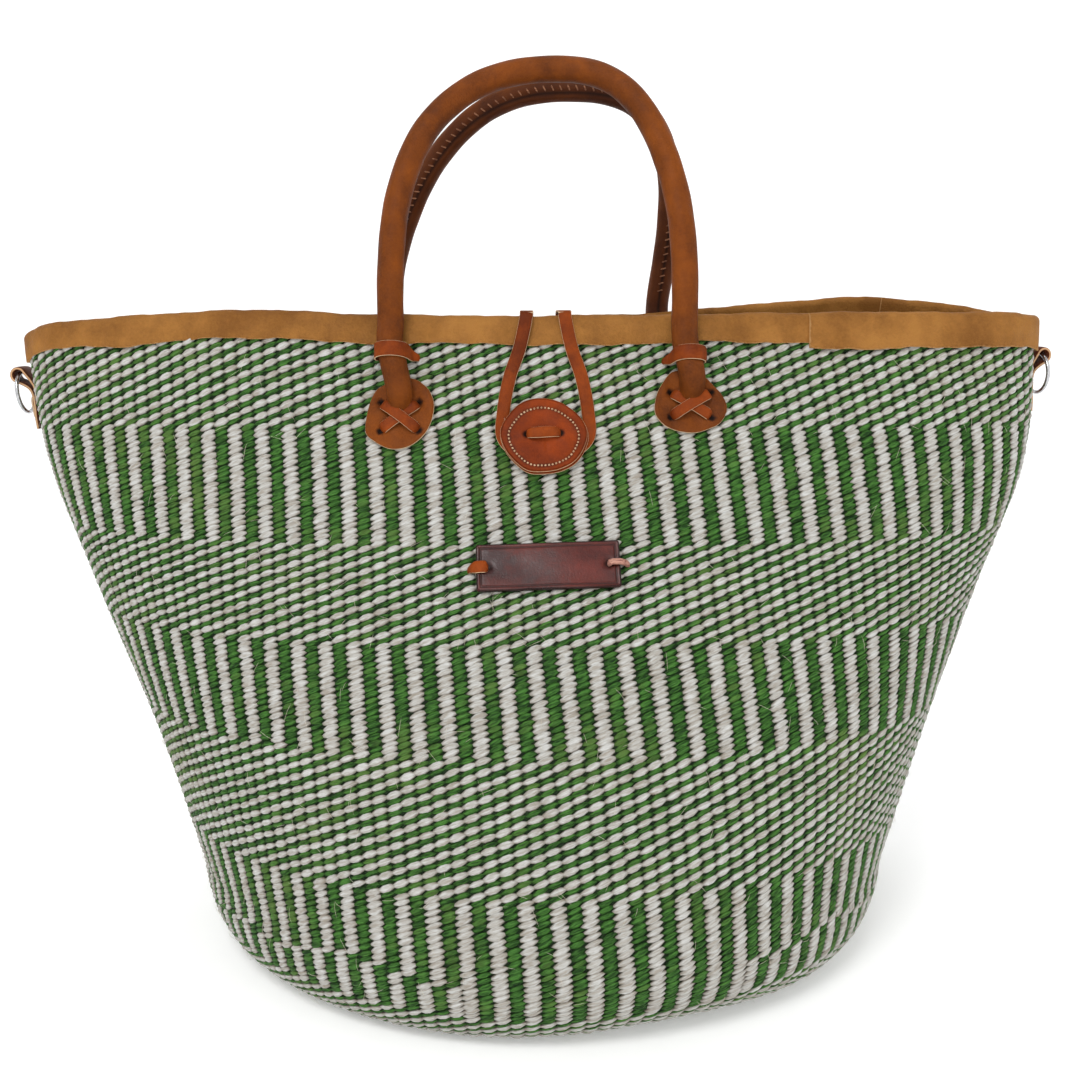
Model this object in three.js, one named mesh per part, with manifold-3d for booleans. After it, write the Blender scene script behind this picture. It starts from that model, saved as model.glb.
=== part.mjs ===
// A kiondo basket: a twined sisal shell with a leather-bound mouth, two rolled leather handles laced to the
// wall, a closure loop over a leather button, a leather name plate left bare, and a strap ring at each end.
// Millimetres, +Z up, X along the wide mouth, the button side faces -Y, and the base stands on z = 0.

import * as THREE from 'three';
import { mergeVertices } from 'three/addons/utils/BufferGeometryUtils.js';
import Module from 'manifold-3d';

const wasm = await Module();
wasm.setup();

// Clearances
const SEAT_GAP = 0.35;
const HOLE_GAP = 0.45;
const CUT_OVERRUN = 4;

// Woven shell
const FLAT_RADIUS = 150;
const KNUCKLE_RADIUS = 174.5;
const KNUCKLE_HEIGHT = 40;
const RIM_HALF_WIDTH = 252.5;
const RIM_HALF_DEPTH = 50;
const RIM_HEIGHT = 303;
const WALL = 3.6;
const FLOOR = 4.2;
// Even steps up the wall from the knuckle to the rim: its widening, its flattening, and how far its middle
// stands to the right, as a share of the sway.
const WALL_SHAPE_SHARES = [
  [0, 0, 1],
  [0.275, 0.197, 0.7],
  [0.61, 0.494, 0],
  [0.925, 0.815, -0.1],
  [1, 1, -1.3],
];
const SWAY = 2.8;
// The wall's section is a superellipse, whose power grows from a plain ellipse's as the mouth flattens.
const ROUND_POWER = 2;
const RIM_POWER = 2.4;
// The free edge of the soft mouth swells and dips. Each swell has a rise, and its place and spread in turns
// round the mouth from the right end by way of the rear.
const REAR_RIGHT_SWELL = { rise: 11.5, place: 0.14, spread: 0.074 };
const FRONT_RIGHT_SWELL = { rise: 3.6, place: 0.88, spread: 0.14 };
const FRONT_LEFT_SWELL = { rise: 4, place: 0.67, spread: 0.045 };
const LEFT_END_DIP = { rise: -8, place: 0.5, spread: 0.055 };
// The base's edge is tucked in at the front right, where its round corner is fuller.
const BASE_TUCK = { rise: 14, place: 0.81, spread: 0.055 };

// Leather binding of the mouth
const BINDING_LEATHER = 1.2;
const BINDING_DROP = 12;
const SHORT_BINDING_DROP = 15.5;
const FRONT_SEAM_X = 130;
const REAR_SEAM_X = 182;

// Handles: a leather tube rolled round a sisal rope
const HANDLE_RADIUS = 6.1;
const ROPE_RADIUS = 4.2;
const HINGE_ABOVE_RIM = 9;
const HANDLE_LEAN = 34;
const INWARD_SWING = THREE.MathUtils.degToRad(11);
const FRONT_LEFT_LEG_X = -67.6;
const FRONT_RIGHT_LEG_X = 68.2;
const REAR_LEFT_LEG_X = -80.5;
const REAR_RIGHT_LEG_X = 65.2;
const FRONT_HANDLE_RISE = 109.2;
const REAR_HANDLE_RISE = 107.4;
const FRONT_HANDLE_SKEW = 8;
const REAR_HANDLE_SKEW = 24;
// Each handle's arch above its two bends: the place of each leg at the rim, its height, its superellipse's
// power, and its sideways skew and how late that sets in. The lace's strip from the upper left is over the
// other one, at 1, or under it, at 0.
const HANDLES = [
  {
    name: 'front',
    side: -1,
    legs: [FRONT_LEFT_LEG_X, FRONT_RIGHT_LEG_X],
    rise: FRONT_HANDLE_RISE,
    power: 2.46,
    skew: FRONT_HANDLE_SKEW,
    skewPower: 6,
    overStrips: [0, 1],
  },
  {
    name: 'rear',
    side: 1,
    legs: [REAR_LEFT_LEG_X, REAR_RIGHT_LEG_X],
    rise: REAR_HANDLE_RISE,
    power: 2.6,
    skew: REAR_HANDLE_SKEW,
    skewPower: 1.25,
    overStrips: [1, 0],
  },
];

// Handle ends: the rolled leather opens into a paddle against the wall. Each is a little different.
const PADDLE_LEATHER = 2;
const LEFT_PADDLE = { width: 31.5, height: 33, drop: 26, shift: 4.4, keeperDrop: 16 };
const RIGHT_PADDLE = { width: 33.5, height: 29, drop: 22.8, shift: 2.9, keeperDrop: 17.4 };
const PADDLE_SINK = 0.8;
const LEG_TIP_SHARE = 0.2;
// The paddle's outline, from its neck round the bowl: half widths and drops as shares of its size.
const PADDLE_OUTLINE_SHARES = [
  [0.46, 0],
  [0.8, 0.16],
  [0.97, 0.38],
  [1, 0.58],
  [0.88, 0.78],
  [0.6, 0.92],
  [0.22, 1],
];
const BACKING_LEATHER = 1.5;
const BACKING_SHARE = 0.88;

// Laces
const LACE_WIDTH = 3.8;
const LACE_NECK = 2.2;
const LACE_LEATHER = 1.1;
const LACE_SPREAD_SHARE = 0.265;
const LACE_RISE_SHARE = 0.19;
const LACE_CENTRE_SHARE = 0.54;
const LACE_CROWN = 1.3;
const LACE_STOP_SHARES = [0.2, 0.5, 0.8];
const KEEPER_WIDTH = 6;
const KEEPER_NEAR = 8.6;
const KEEPER_FAR = 12.5;
const KEEPER_FACETS = 5;

// Closure loop
const LOOP_WIDTH = 5.2;
const LOOP_LEATHER = 1.4;
const LOOP_X = 4;
const LOOP_HALF_SPREAD = 9;
const LOOP_HOLE_DROP = 19;
const LOOP_HALF_BOW = 20.5;
const LOOP_BOW_DROP = 41;
const LOOP_BIGHT_DROP = 62.5;
// How far the strands have spread at the binding's lower edge and at the bow's upper bend, how far down that
// bend lies, and how wide the bight's lower bends stand, as shares of the bow's spread and drop.
const BOW_START_SHARE = 0.3;
const BOW_BEND_SHARE = 0.72;
const BOW_BEND_DROP_SHARE = 0.62;
const BIGHT_BEND_SHARE = 0.62;

// Button
const BUTTON_X = 3;
const BUTTON_DROP = 53;
const BUTTON_WIDTH = 40;
const BUTTON_HEIGHT = 35;
const BUTTON_LEATHER = 2;
const BUTTON_HOLE_SPREAD = 14.3;
const BUTTON_LACE_WIDTH = 5;
const BUTTON_LACE_CROWN = 1.2;
// The button's outline: distance from its middle by direction, as shares of its half width and half height.
const BUTTON_OUTLINE_SHARES = [
  [1, 0.05], [0.88, 0.42], [0.62, 0.72], [0.3, 0.93], [-0.12, 1], [-0.5, 0.88], [-0.8, 0.55],
  [-0.99, 0.1], [-0.9, -0.35], [-0.66, -0.72], [-0.36, -0.97], [-0.02, -1], [0.36, -0.93],
  [0.7, -0.72], [0.92, -0.36],
];

// Name plate, left bare
const LABEL_X = 5;
const LABEL_DROP = 108;
const LABEL_WIDTH = 64;
const LABEL_HEIGHT = 22.5;
const LABEL_LEATHER = 2.6;
const LABEL_TILT = THREE.MathUtils.degToRad(2.2);
const LABEL_HOLE_INSET = 5;
const LABEL_TIE_REACH = 4;
const LABEL_STEPS = 3;
const TWINE_WIDTH = 2.2;
const TWINE_DEPTH = 1.6;

// Ring tabs and rings at the two ends: each tab's angle round the mouth and its foot's drop below the rim
const LEFT_TAB_DROP = 53;
const RIGHT_TAB_DROP = 44.5;
const RING_TABS = [
  { name: 'left', angle: THREE.MathUtils.degToRad(178.5), drop: LEFT_TAB_DROP },
  { name: 'right', angle: THREE.MathUtils.degToRad(5), drop: RIGHT_TAB_DROP },
];
const TAB_WIDTH = 12;
const TAB_LEATHER = 1.6;
const TAB_LENGTH = 28;
const TAB_SHORT_LAYER = 13;
const TAB_EYE_RADIUS = 2.6;
const TAB_EYE_OFFSET = 8.4;
const TAB_LACE_FOOT = 4.5;
const TAB_LACE_HEAD = 16.5;
// The strap's bend round the ring, in degrees from straight out, by way of the top.
const TAB_BEND_DEGREES = { from: 165, to: -75, step: 30 };
const RING_RADIUS = 10;
const RING_WIRE_RADIUS = 1;
const RING_SET = 1;

// How finely the shapes are divided
const WALL_SIDES = 56;
const KNUCKLE_RINGS = 4;
const LOWER_RINGS = 6;
const UPPER_RINGS = 6;
const INNER_RINGS = 11;
const UPPER_ZONE_SHARE = 0.72;
const TUBE_SIDES = 10;
const ROPE_SIDES = 6;
const WIRE_SIDES = 6;
const RING_STEPS = 20;
const HANDLE_STEPS = 22;
const LEG_STEPS = 6;
const HOLE_SIDES = 6;
const BINDING_CHAMFER_SHARE = 0.6;
const DERIVATIVE_STEP = 0.5;
const PATH_TOLERANCE = 0.001;

const COLORS = {
  sisal: 0x9aa583,
  bindingLeather: 0xb07a3c,
  handleLeather: 0x9c5426,
  rope: 0xc9b48c,
  tabLeather: 0xa34f27,
  laceLeather: 0xb0602f,
  plateLeather: 0x6a2f24,
  strapLeather: 0x6e3c24,
  twine: 0xc08a78,
  steel: 0xb9bcc0,
};

function finish(color, roughness, metalness = 0) {
  return new THREE.MeshStandardMaterial({ color, roughness, metalness });
}

const MATERIALS = {
  sisal: finish(COLORS.sisal, 0.9),
  binding: finish(COLORS.bindingLeather, 0.6),
  handle: finish(COLORS.handleLeather, 0.55),
  rope: finish(COLORS.rope, 0.95),
  tab: finish(COLORS.tabLeather, 0.6),
  lace: finish(COLORS.laceLeather, 0.6),
  plate: finish(COLORS.plateLeather, 0.4),
  strap: finish(COLORS.strapLeather, 0.55),
  twine: finish(COLORS.twine, 0.9),
  steel: finish(COLORS.steel, 0.25, 1),
};

// The shape of the shell

// A smooth curve through evenly spaced rows of a share table, straight beyond its ends.
function smoothShare(table, column, share) {
  const last = table.length - 1;
  const value = (i) => table[i][column];
  const slope = (i) => {
    const before = Math.max(i - 1, 0);
    const after = Math.min(i + 1, last);
    return (value(after) - value(before)) / (after - before);
  };
  const place = share * last;
  if (place <= 0) return value(0) + slope(0) * place;
  if (place >= last) return value(last) + slope(last) * (place - last);
  const i = Math.floor(place);
  const t = place - i;
  const rise = t * t * (3 - 2 * t);
  const leave = t * (1 - t) * (1 - t);
  const arrive = t * t * (t - 1);
  return value(i) * (1 - rise) + value(i + 1) * rise + slope(i) * leave + slope(i + 1) * arrive;
}

// The height of a rounded swell, or the depth of a dip, at an angle round the shell.
function swellAt({ rise, place, spread }, angle) {
  const away = THREE.MathUtils.euclideanModulo(angle / (2 * Math.PI) - place, 1);
  return rise * Math.exp(-((Math.min(away, 1 - away) / spread) ** 2));
}

// Half width, half depth and power of the wall's outer section at a height.
function sectionAt(z, angle = 0) {
  if (z < KNUCKLE_HEIGHT) {
    const down = 1 - z / KNUCKLE_HEIGHT;
    const flatRadius = FLAT_RADIUS - swellAt(BASE_TUCK, angle);
    const radius = flatRadius + (KNUCKLE_RADIUS - flatRadius) * Math.sqrt(Math.max(0, 1 - down * down));
    return { a: radius, b: radius, n: ROUND_POWER, middle: SWAY };
  }
  const share = (z - KNUCKLE_HEIGHT) / (RIM_HEIGHT - KNUCKLE_HEIGHT);
  return {
    a: KNUCKLE_RADIUS + (RIM_HALF_WIDTH - KNUCKLE_RADIUS) * smoothShare(WALL_SHAPE_SHARES, 0, share),
    b: KNUCKLE_RADIUS + (RIM_HALF_DEPTH - KNUCKLE_RADIUS) * smoothShare(WALL_SHAPE_SHARES, 1, share),
    n: ROUND_POWER + (RIM_POWER - ROUND_POWER) * share,
    middle: SWAY * smoothShare(WALL_SHAPE_SHARES, 2, share),
  };
}

function signedPower(value, power) {
  return Math.sign(value) * Math.abs(value) ** power;
}

// The level unit vector that points out of the section at a point of it.
function outwardAt(x, y, { a, b, n, middle }) {
  const sideways = signedPower((x - middle) / a, n - 1) / a;
  const deep = signedPower(y / b, n - 1) / b;
  return new THREE.Vector3(sideways, deep, 0).normalize();
}

// A point of the wall by its angle round the mouth, offset level from the outer face.
function wallPoint(angle, z, offset = 0) {
  const section = sectionAt(z, angle);
  const x = section.middle + section.a * signedPower(Math.cos(angle), 2 / section.n);
  const y = section.b * signedPower(Math.sin(angle), 2 / section.n);
  return new THREE.Vector3(x, y, z).addScaledVector(outwardAt(x, y, section), offset);
}

// How far the free edge of the mouth stands above or below its even height.
function rimRise(angle) {
  const swells = [REAR_RIGHT_SWELL, FRONT_RIGHT_SWELL, FRONT_LEFT_SWELL, LEFT_END_DIP];
  return swells.reduce((sum, swell) => sum + swellAt(swell, angle), 0);
}

// A point on the flat facets that the shell is made of, at a height above or below the free edge.
function facetPoint(angle, above, offset) {
  const step = (2 * Math.PI) / WALL_SIDES;
  const before = Math.floor(angle / step) * step;
  const corner = (at) => wallPoint(at, RIM_HEIGHT + rimRise(at) + above, offset);
  return corner(before).lerp(corner(before + step), (angle - before) / step);
}

function angleAtX(x, side) {
  const { a, n, middle } = sectionAt(RIM_HEIGHT);
  return side * Math.acos(signedPower((x - middle) / a, n / 2));
}

// Height of the free edge at a sideways place on the front or rear.
function edgeHeight(x, side) {
  return facetPoint(angleAtX(x, side), 0, 0).z;
}

// Depth of the outer face at a sideways place and a height, on the front, -1, or the rear, 1.
function faceDepth(x, z, side) {
  const { a, b, n, middle } = sectionAt(z);
  return side * b * (1 - Math.abs((x - middle) / a) ** n) ** (1 / n);
}

function facePoint(x, z, side) {
  return new THREE.Vector3(x, faceDepth(x, z, side), z);
}

function faceNormal(x, z, side) {
  const point = facePoint(x, z, side);
  const level = outwardAt(x, point.y, sectionAt(z));
  const above = facePoint(x, z + DERIVATIVE_STEP, side);
  const below = facePoint(x, z - DERIVATIVE_STEP, side);
  const lean = above.sub(below).dot(level) / (2 * DERIVATIVE_STEP);
  return new THREE.Vector3(level.x, level.y, -lean).normalize();
}

// Maps u sideways, v up the wall and h out of it to a point, around a place on the front or rear face.
// A tilt turns the piece on the wall.
function wallFrame(x, drop, side, tilt = 0) {
  const centre = RIM_HEIGHT - drop;
  const steep = Math.hypot(faceNormal(x, centre, side).x, faceNormal(x, centre, side).y);
  const map = (u, v, h) => {
    const along = u * Math.cos(tilt) - v * Math.sin(tilt);
    const up = u * Math.sin(tilt) + v * Math.cos(tilt);
    const place = facePoint(x + along, centre + up * steep, side);
    return place.addScaledVector(faceNormal(place.x, place.z, side), h);
  };
  map.direction = (u, v, du, dv) => {
    const small = DERIVATIVE_STEP;
    return map(u + du * small, v + dv * small, 0)
      .sub(map(u - du * small, v - dv * small, 0))
      .normalize();
  };
  return map;
}

// Building blocks

function geometryOf(positions, index) {
  const geometry = new THREE.BufferGeometry();
  geometry.setAttribute('position', new THREE.Float32BufferAttribute(positions, 3));
  geometry.setIndex(index);
  return facingOut(geometry);
}

function signedVolume(geometry) {
  const points = geometry.getAttribute('position');
  const index = geometry.getIndex();
  const corner = (k) => new THREE.Vector3().fromBufferAttribute(points, index.getX(k));
  let volume = 0;
  for (let k = 0; k < index.count; k += 3) {
    volume += corner(k).dot(corner(k + 1).cross(corner(k + 2))) / 6;
  }
  return volume;
}

function facingOut(geometry) {
  if (signedVolume(geometry) < 0) {
    const index = geometry.getIndex().array;
    for (let k = 0; k < index.length; k += 3) {
      const kept = index[k];
      index[k] = index[k + 1];
      index[k + 1] = kept;
    }
  }
  return geometry;
}

// Skins rings of equal point counts. A closed loft joins its last ring to its first. An open one is capped,
// with a fan round each end's middle, or with the faces given for a hollowed section.
function loft(rings, closed = false, capFaces = null) {
  const count = rings[0].length;
  const points = rings.flat();
  const index = [];
  const spans = closed ? rings.length : rings.length - 1;
  for (let i = 0; i < spans; i += 1) {
    const here = i * count;
    const next = ((i + 1) % rings.length) * count;
    for (let j = 0; j < count; j += 1) {
      const k = (j + 1) % count;
      index.push(here + j, next + j, next + k, here + j, next + k, here + k);
    }
  }
  const cap = (first, flip) => {
    const face = (a, b, c) => index.push(...(flip ? [a, c, b] : [a, b, c]));
    if (capFaces) {
      capFaces.forEach(([a, b, c]) => face(first + a, first + b, first + c));
      return;
    }
    const total = new THREE.Vector3();
    points.slice(first, first + count).forEach((point) => total.add(point));
    const centre = points.push(total.divideScalar(count)) - 1;
    for (let j = 0; j < count; j += 1) face(centre, first + j, first + ((j + 1) % count));
  };
  if (!closed) {
    cap(0, false);
    cap((rings.length - 1) * count, true);
  }
  return geometryOf(points.flatMap((p) => [p.x, p.y, p.z]), index);
}

// A flat strip along a path. Each stop has a point, the direction across the strip, a width and a thickness.
function ribbon(stops, closed = false) {
  const last = stops.length - 1;
  const rings = stops.map((stop, i) => {
    const before = stops[closed ? (i + last) % stops.length : Math.max(i - 1, 0)].point;
    const after = stops[closed ? (i + 1) % stops.length : Math.min(i + 1, last)].point;
    const arriving = stop.point.clone().sub(before).normalize();
    const leaving = after.clone().sub(stop.point).normalize();
    const along = arriving.clone().add(leaving).normalize();
    const ends = arriving.lengthSq() === 0 || leaving.lengthSq() === 0;
    const mitre = ends ? 1 : 1 / Math.max(along.dot(leaving), 1 / Math.SQRT2);
    const across = stop.across.clone().addScaledVector(along, -stop.across.dot(along)).normalize();
    const up = along.clone().cross(across);
    const halfWidth = stop.width / 2;
    const halfThick = (stop.thick * mitre) / 2;
    return [[1, 1], [-1, 1], [-1, -1], [1, -1]].map(([s, t]) =>
      stop.point.clone().addScaledVector(across, s * halfWidth).addScaledVector(up, t * halfThick),
    );
  });
  return loft(rings, closed);
}

// A plate with an outline given in u and v, bent to lie on the wall between two heights above its face.
function wallPlate(map, outline, low, high) {
  const centre = outline.reduce((sum, [u, v]) => [sum[0] + u, sum[1] + v], [0, 0])
    .map((total) => total / outline.length);
  const ring = (share, h) => outline.map(([u, v]) =>
    map(centre[0] + (u - centre[0]) * share, centre[1] + (v - centre[1]) * share, h));
  return loft([ring(1 / 2, low), ring(1, low), ring(1, high), ring(1 / 2, high)]);
}

function toSolid(geometry) {
  const bare = geometry.clone();
  bare.deleteAttribute('normal');
  bare.deleteAttribute('uv');
  const merged = facingOut(mergeVertices(bare));
  return new wasm.Manifold(new wasm.Mesh({
    numProp: 3,
    vertProperties: new Float32Array(merged.getAttribute('position').array),
    triVerts: new Uint32Array(merged.getIndex().array),
  }));
}

function toGeometry(solid) {
  const mesh = solid.getMesh();
  return geometryOf(Array.from(mesh.vertProperties), Array.from(mesh.triVerts));
}

function cut(geometry, tools) {
  return toGeometry(tools.reduce((solid, tool) => solid.subtract(toSolid(tool)), toSolid(geometry)));
}

function join(...geometries) {
  return toGeometry(geometries.map(toSolid).reduce((whole, piece) => whole.add(piece)));
}

function disc(radius, sides) {
  const corners = Array.from({ length: sides }, (_, i) => {
    const angle = (2 * Math.PI * i) / sides;
    return new THREE.Vector2(radius * Math.cos(angle), radius * Math.sin(angle));
  });
  return new THREE.Shape(corners);
}

function tube(path, radius, sides, steps, bore = 0) {
  const shape = disc(radius, sides);
  if (bore > 0) shape.holes.push(disc(bore, sides));
  return new THREE.ExtrudeGeometry(shape, { steps, bevelEnabled: false, extrudePath: path });
}

// A straight round cutter between two points.
function cutter(from, to, radius) {
  const way = to.clone().sub(from);
  const geometry = new THREE.CylinderGeometry(radius, radius, way.length(), HOLE_SIDES);
  const turn = new THREE.Quaternion().setFromUnitVectors(new THREE.Vector3(0, 1, 0), way.clone().normalize());
  return geometry.applyQuaternion(turn).translate(...from.clone().add(to).divideScalar(2).toArray());
}

const laceHoleRadius = (Math.hypot(LACE_NECK, LACE_LEATHER) / 2 + HOLE_GAP) / Math.cos(Math.PI / HOLE_SIDES);
const wallHoles = [];

// A hole square through the wall and whatever lies on it, at a place in a wall frame.
function laceHole(map, u, v) {
  const reach = WALL + PADDLE_LEATHER + BUTTON_LEATHER * 2 + LOOP_LEATHER + CUT_OVERRUN;
  return cutter(map(u, v, -reach), map(u, v, reach), laceHoleRadius);
}

const basket = new THREE.Group();

function add(name, geometry, material, parent = basket) {
  const mesh = new THREE.Mesh(geometry, material);
  mesh.name = name;
  parent.add(mesh);
  return mesh;
}

// Handles and what holds them

const bindingOut = SEAT_GAP + BINDING_LEATHER;
const handleBore = ROPE_RADIUS + SEAT_GAP;
const hingeHeight = RIM_HEIGHT + HINGE_ABOVE_RIM;

// The middle line of one handle leg, from its tip on the paddle up to the bend above the rim.
function legLine(x, paddle, side) {
  const clear = bindingOut + 2 * SEAT_GAP + HANDLE_RADIUS;
  const besideRim = facePoint(x, RIM_HEIGHT, side);
  besideRim.y += side * clear;
  const under = RIM_HEIGHT - BINDING_DROP;
  const belowRim = facePoint(x, under, side).addScaledVector(faceNormal(x, under, side), clear);
  const tipFrame = wallFrame(x + paddle.shift, paddle.drop + paddle.height * LEG_TIP_SHARE, side);
  const tip = tipFrame(0, 0, SEAT_GAP + PADDLE_LEATHER - PADDLE_SINK + HANDLE_RADIUS);
  return [tip, belowRim, besideRim, new THREE.Vector3(x, besideRim.y, hingeHeight)];
}

function smoothPath(points) {
  return new THREE.CatmullRomCurve3(points, false, 'centripetal');
}

const cubeSize = 4 * HANDLE_RADIUS;

// A cube whose lower face is level at a height over a place.
function cubeAbove(x, y, height) {
  return new THREE.BoxGeometry(cubeSize, cubeSize, cubeSize).translate(x, y, height + cubeSize / 2);
}

function paddlePlate(x, paddle, side) {
  const half = PADDLE_OUTLINE_SHARES.map(([w, d]) => [(w * paddle.width) / 2, -d * paddle.height]);
  const outline = [...half, ...half.map(([u, v]) => [-u, v]).reverse()];
  const map = wallFrame(x + paddle.shift, paddle.drop, side);
  return wallPlate(map, outline, SEAT_GAP, SEAT_GAP + PADDLE_LEATHER);
}

// The rolled leg, its rope's bore and its paddle are one piece of leather. The leg's top is cut on a slant,
// so that the handle can lean inward about its outer edge.
function handleEnd(line, plate, side, holes) {
  const path = smoothPath(line);
  const [tip, , , top] = line;
  const leg = tube(path, HANDLE_RADIUS, TUBE_SIDES, LEG_STEPS);
  const toe = new THREE.SphereGeometry(HANDLE_RADIUS, TUBE_SIDES, TUBE_SIDES / 2).translate(...tip.toArray());
  const beyond = top.clone().setZ(top.z + CUT_OVERRUN);
  const boreLine = [path.getPoint(1 / LEG_STEPS), ...line.slice(1), beyond];
  const bore = tube(smoothPath(boreLine), handleBore, ROPE_SIDES, LEG_STEPS);
  const level = cubeAbove(top.x, top.y, top.z - HOLE_GAP);
  const slant = cubeAbove(0, -side * 2 * HANDLE_RADIUS, 0)
    .rotateX(side * INWARD_SWING)
    .translate(top.x, top.y + side * HANDLE_RADIUS, top.z - HOLE_GAP);
  return cut(join(plate, leg, toe), [bore, level, slant, ...holes]);
}

// The rope inside the leg stops short of the bore's foot and of the slanted top.
function legRope(line) {
  const path = smoothPath(line);
  const start = path.getPoint(1 / LEG_STEPS).lerp(path.getPoint(2 / LEG_STEPS), SEAT_GAP / HANDLE_RADIUS);
  const top = line[3].clone();
  top.z -= HOLE_GAP + SEAT_GAP + 2 * HANDLE_RADIUS * Math.tan(INWARD_SWING);
  return tube(smoothPath([start, line[1], line[2], top]), ROPE_RADIUS, ROPE_SIDES, LEG_STEPS);
}

// One end of a handle: leg and paddle, rope, crossed lace, the patch that backs the lace, and keeper.
function addHandleEnd(name, x, paddle, side, overStrip) {
  const line = legLine(x, paddle, side);
  const map = wallFrame(x + paddle.shift, paddle.drop + paddle.height * LACE_CENTRE_SHARE, side);
  const spread = paddle.width * LACE_SPREAD_SHARE;
  const rise = paddle.height * LACE_RISE_SHARE;
  const corners = [[-spread, rise], [spread, -rise], [spread, rise], [-spread, -rise]];
  const holes = corners.map(([u, v]) => laceHole(map, u, v));
  wallHoles.push(...holes);
  const oval = ovalOutline(paddle.width * BACKING_SHARE, paddle.height * BACKING_SHARE, TUBE_SIDES);
  const patch = wallPlate(map, oval, -WALL - SEAT_GAP - BACKING_LEATHER, -WALL - SEAT_GAP);
  add(name + '_handle_end', handleEnd(line, paddlePlate(x, paddle, side), side, holes), MATERIALS.handle);
  add(name + '_leg_rope', legRope(line), MATERIALS.rope);
  add(name + '_tab_lace', crossLace(map, corners, overStrip), MATERIALS.lace);
  add(name + '_backing_patch', cut(patch, holes), MATERIALS.binding);
  add(name + '_keeper', keeper(smoothPath(line), x, paddle.keeperDrop, side), MATERIALS.lace);
}

function ovalOutline(width, height, sides) {
  return Array.from({ length: sides }, (_, i) => {
    const angle = (2 * Math.PI * (i + 1 / 2)) / sides;
    return [(width / 2) * Math.cos(angle), (height / 2) * Math.sin(angle)];
  });
}

// A lace that runs corner to corner outside, upright inside, and passes the wall at each corner.
function crossLace(map, corners, overStrip) {
  const outside = SEAT_GAP + PADDLE_LEATHER + SEAT_GAP + LACE_LEATHER / 2;
  const inside = -WALL - SEAT_GAP - BACKING_LEATHER - SEAT_GAP - LACE_LEATHER / 2;
  const stops = [];
  const stop = (u, v, h, du, dv, width) => stops.push({
    point: map(u, v, h),
    across: map.direction(u, v, -dv, du),
    width,
    thick: LACE_LEATHER,
  });
  const diagonal = ([u0, v0], [u1, v1], crown) => {
    const length = Math.hypot(u1 - u0, v1 - v0);
    const [du, dv] = [(u1 - u0) / length, (v1 - v0) / length];
    stop(u0, v0, outside, du, dv, LACE_NECK);
    for (const share of LACE_STOP_SHARES) {
      const lift = crown * Math.sin(Math.PI * share);
      stop(u0 + (u1 - u0) * share, v0 + (v1 - v0) * share, outside + lift, du, dv, LACE_WIDTH);
    }
    stop(u1, v1, outside, du, dv, LACE_NECK);
  };
  const upright = ([u0, v0], [u1, v1]) => {
    const way = Math.sign(v1 - v0);
    stop(u0, v0, inside, 0, way, LACE_NECK);
    stop(u0, (v0 + v1) / 2, inside, 0, way, LACE_WIDTH);
    stop(u1, v1, inside, 0, way, LACE_NECK);
  };
  const crowns = [LACE_CROWN + LACE_LEATHER + SEAT_GAP, LACE_CROWN];
  diagonal(corners[0], corners[1], crowns[overStrip]);
  upright(corners[1], corners[2]);
  diagonal(corners[2], corners[3], crowns[1 - overStrip]);
  upright(corners[3], corners[0]);
  return ribbon(stops, true);
}

// The place along an upright path where it reaches a height.
function reaching(path, height) {
  let [low, high] = [0, 1];
  while (high - low > PATH_TOLERANCE) {
    const middle = (low + high) / 2;
    if (path.getPoint(middle).z < height) low = middle;
    else high = middle;
  }
  return low;
}

// A band round the leg below the rim, whose ends pass through the wall and meet inside.
function keeper(path, x, drop, side) {
  const map = wallFrame(x, drop, side);
  const origin = map(0, 0, 0);
  const place = reaching(path, origin.z);
  const centre = path.getPoint(place);
  const legOut = centre.clone().sub(origin).dot(faceNormal(x, origin.z, side));
  const legAcross = centre.x - x;
  const halfStep = Math.PI / (2 * KEEPER_FACETS);
  const bandRadius = (HANDLE_RADIUS + SEAT_GAP) / Math.cos(halfStep) + LACE_LEATHER / 2;
  const inner = -WALL - SEAT_GAP - LACE_LEATHER / 2;
  const toMiddle = -Math.sign(x);
  const near = legAcross - toMiddle * KEEPER_NEAR;
  const far = legAcross + toMiddle * KEEPER_FAR;
  const across = path.getTangent(place);
  // The band lies square to the leg, which leans sideways a little.
  const square = (u) => ((legAcross - u) * across.x) / across.z;
  const stops = [];
  const stop = (u, h, width) => {
    stops.push({ point: map(u, square(u), h), across, width, thick: LACE_LEATHER });
  };
  stop(near, inner, LACE_NECK);
  stop(near, SEAT_GAP, LACE_NECK);
  for (let i = 0; i < KEEPER_FACETS; i += 1) {
    const angle = Math.PI - halfStep * (2 * i + 1);
    stop(
      legAcross + toMiddle * bandRadius * Math.cos(angle) / Math.cos(halfStep),
      legOut + bandRadius * Math.sin(angle),
      KEEPER_WIDTH,
    );
  }
  stop(far, SEAT_GAP, LACE_NECK);
  stop(far, inner, LACE_NECK);
  wallHoles.push(...[near, far].map((u) => laceHole(map, u, square(u))));
  return ribbon(stops, true);
}

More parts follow.
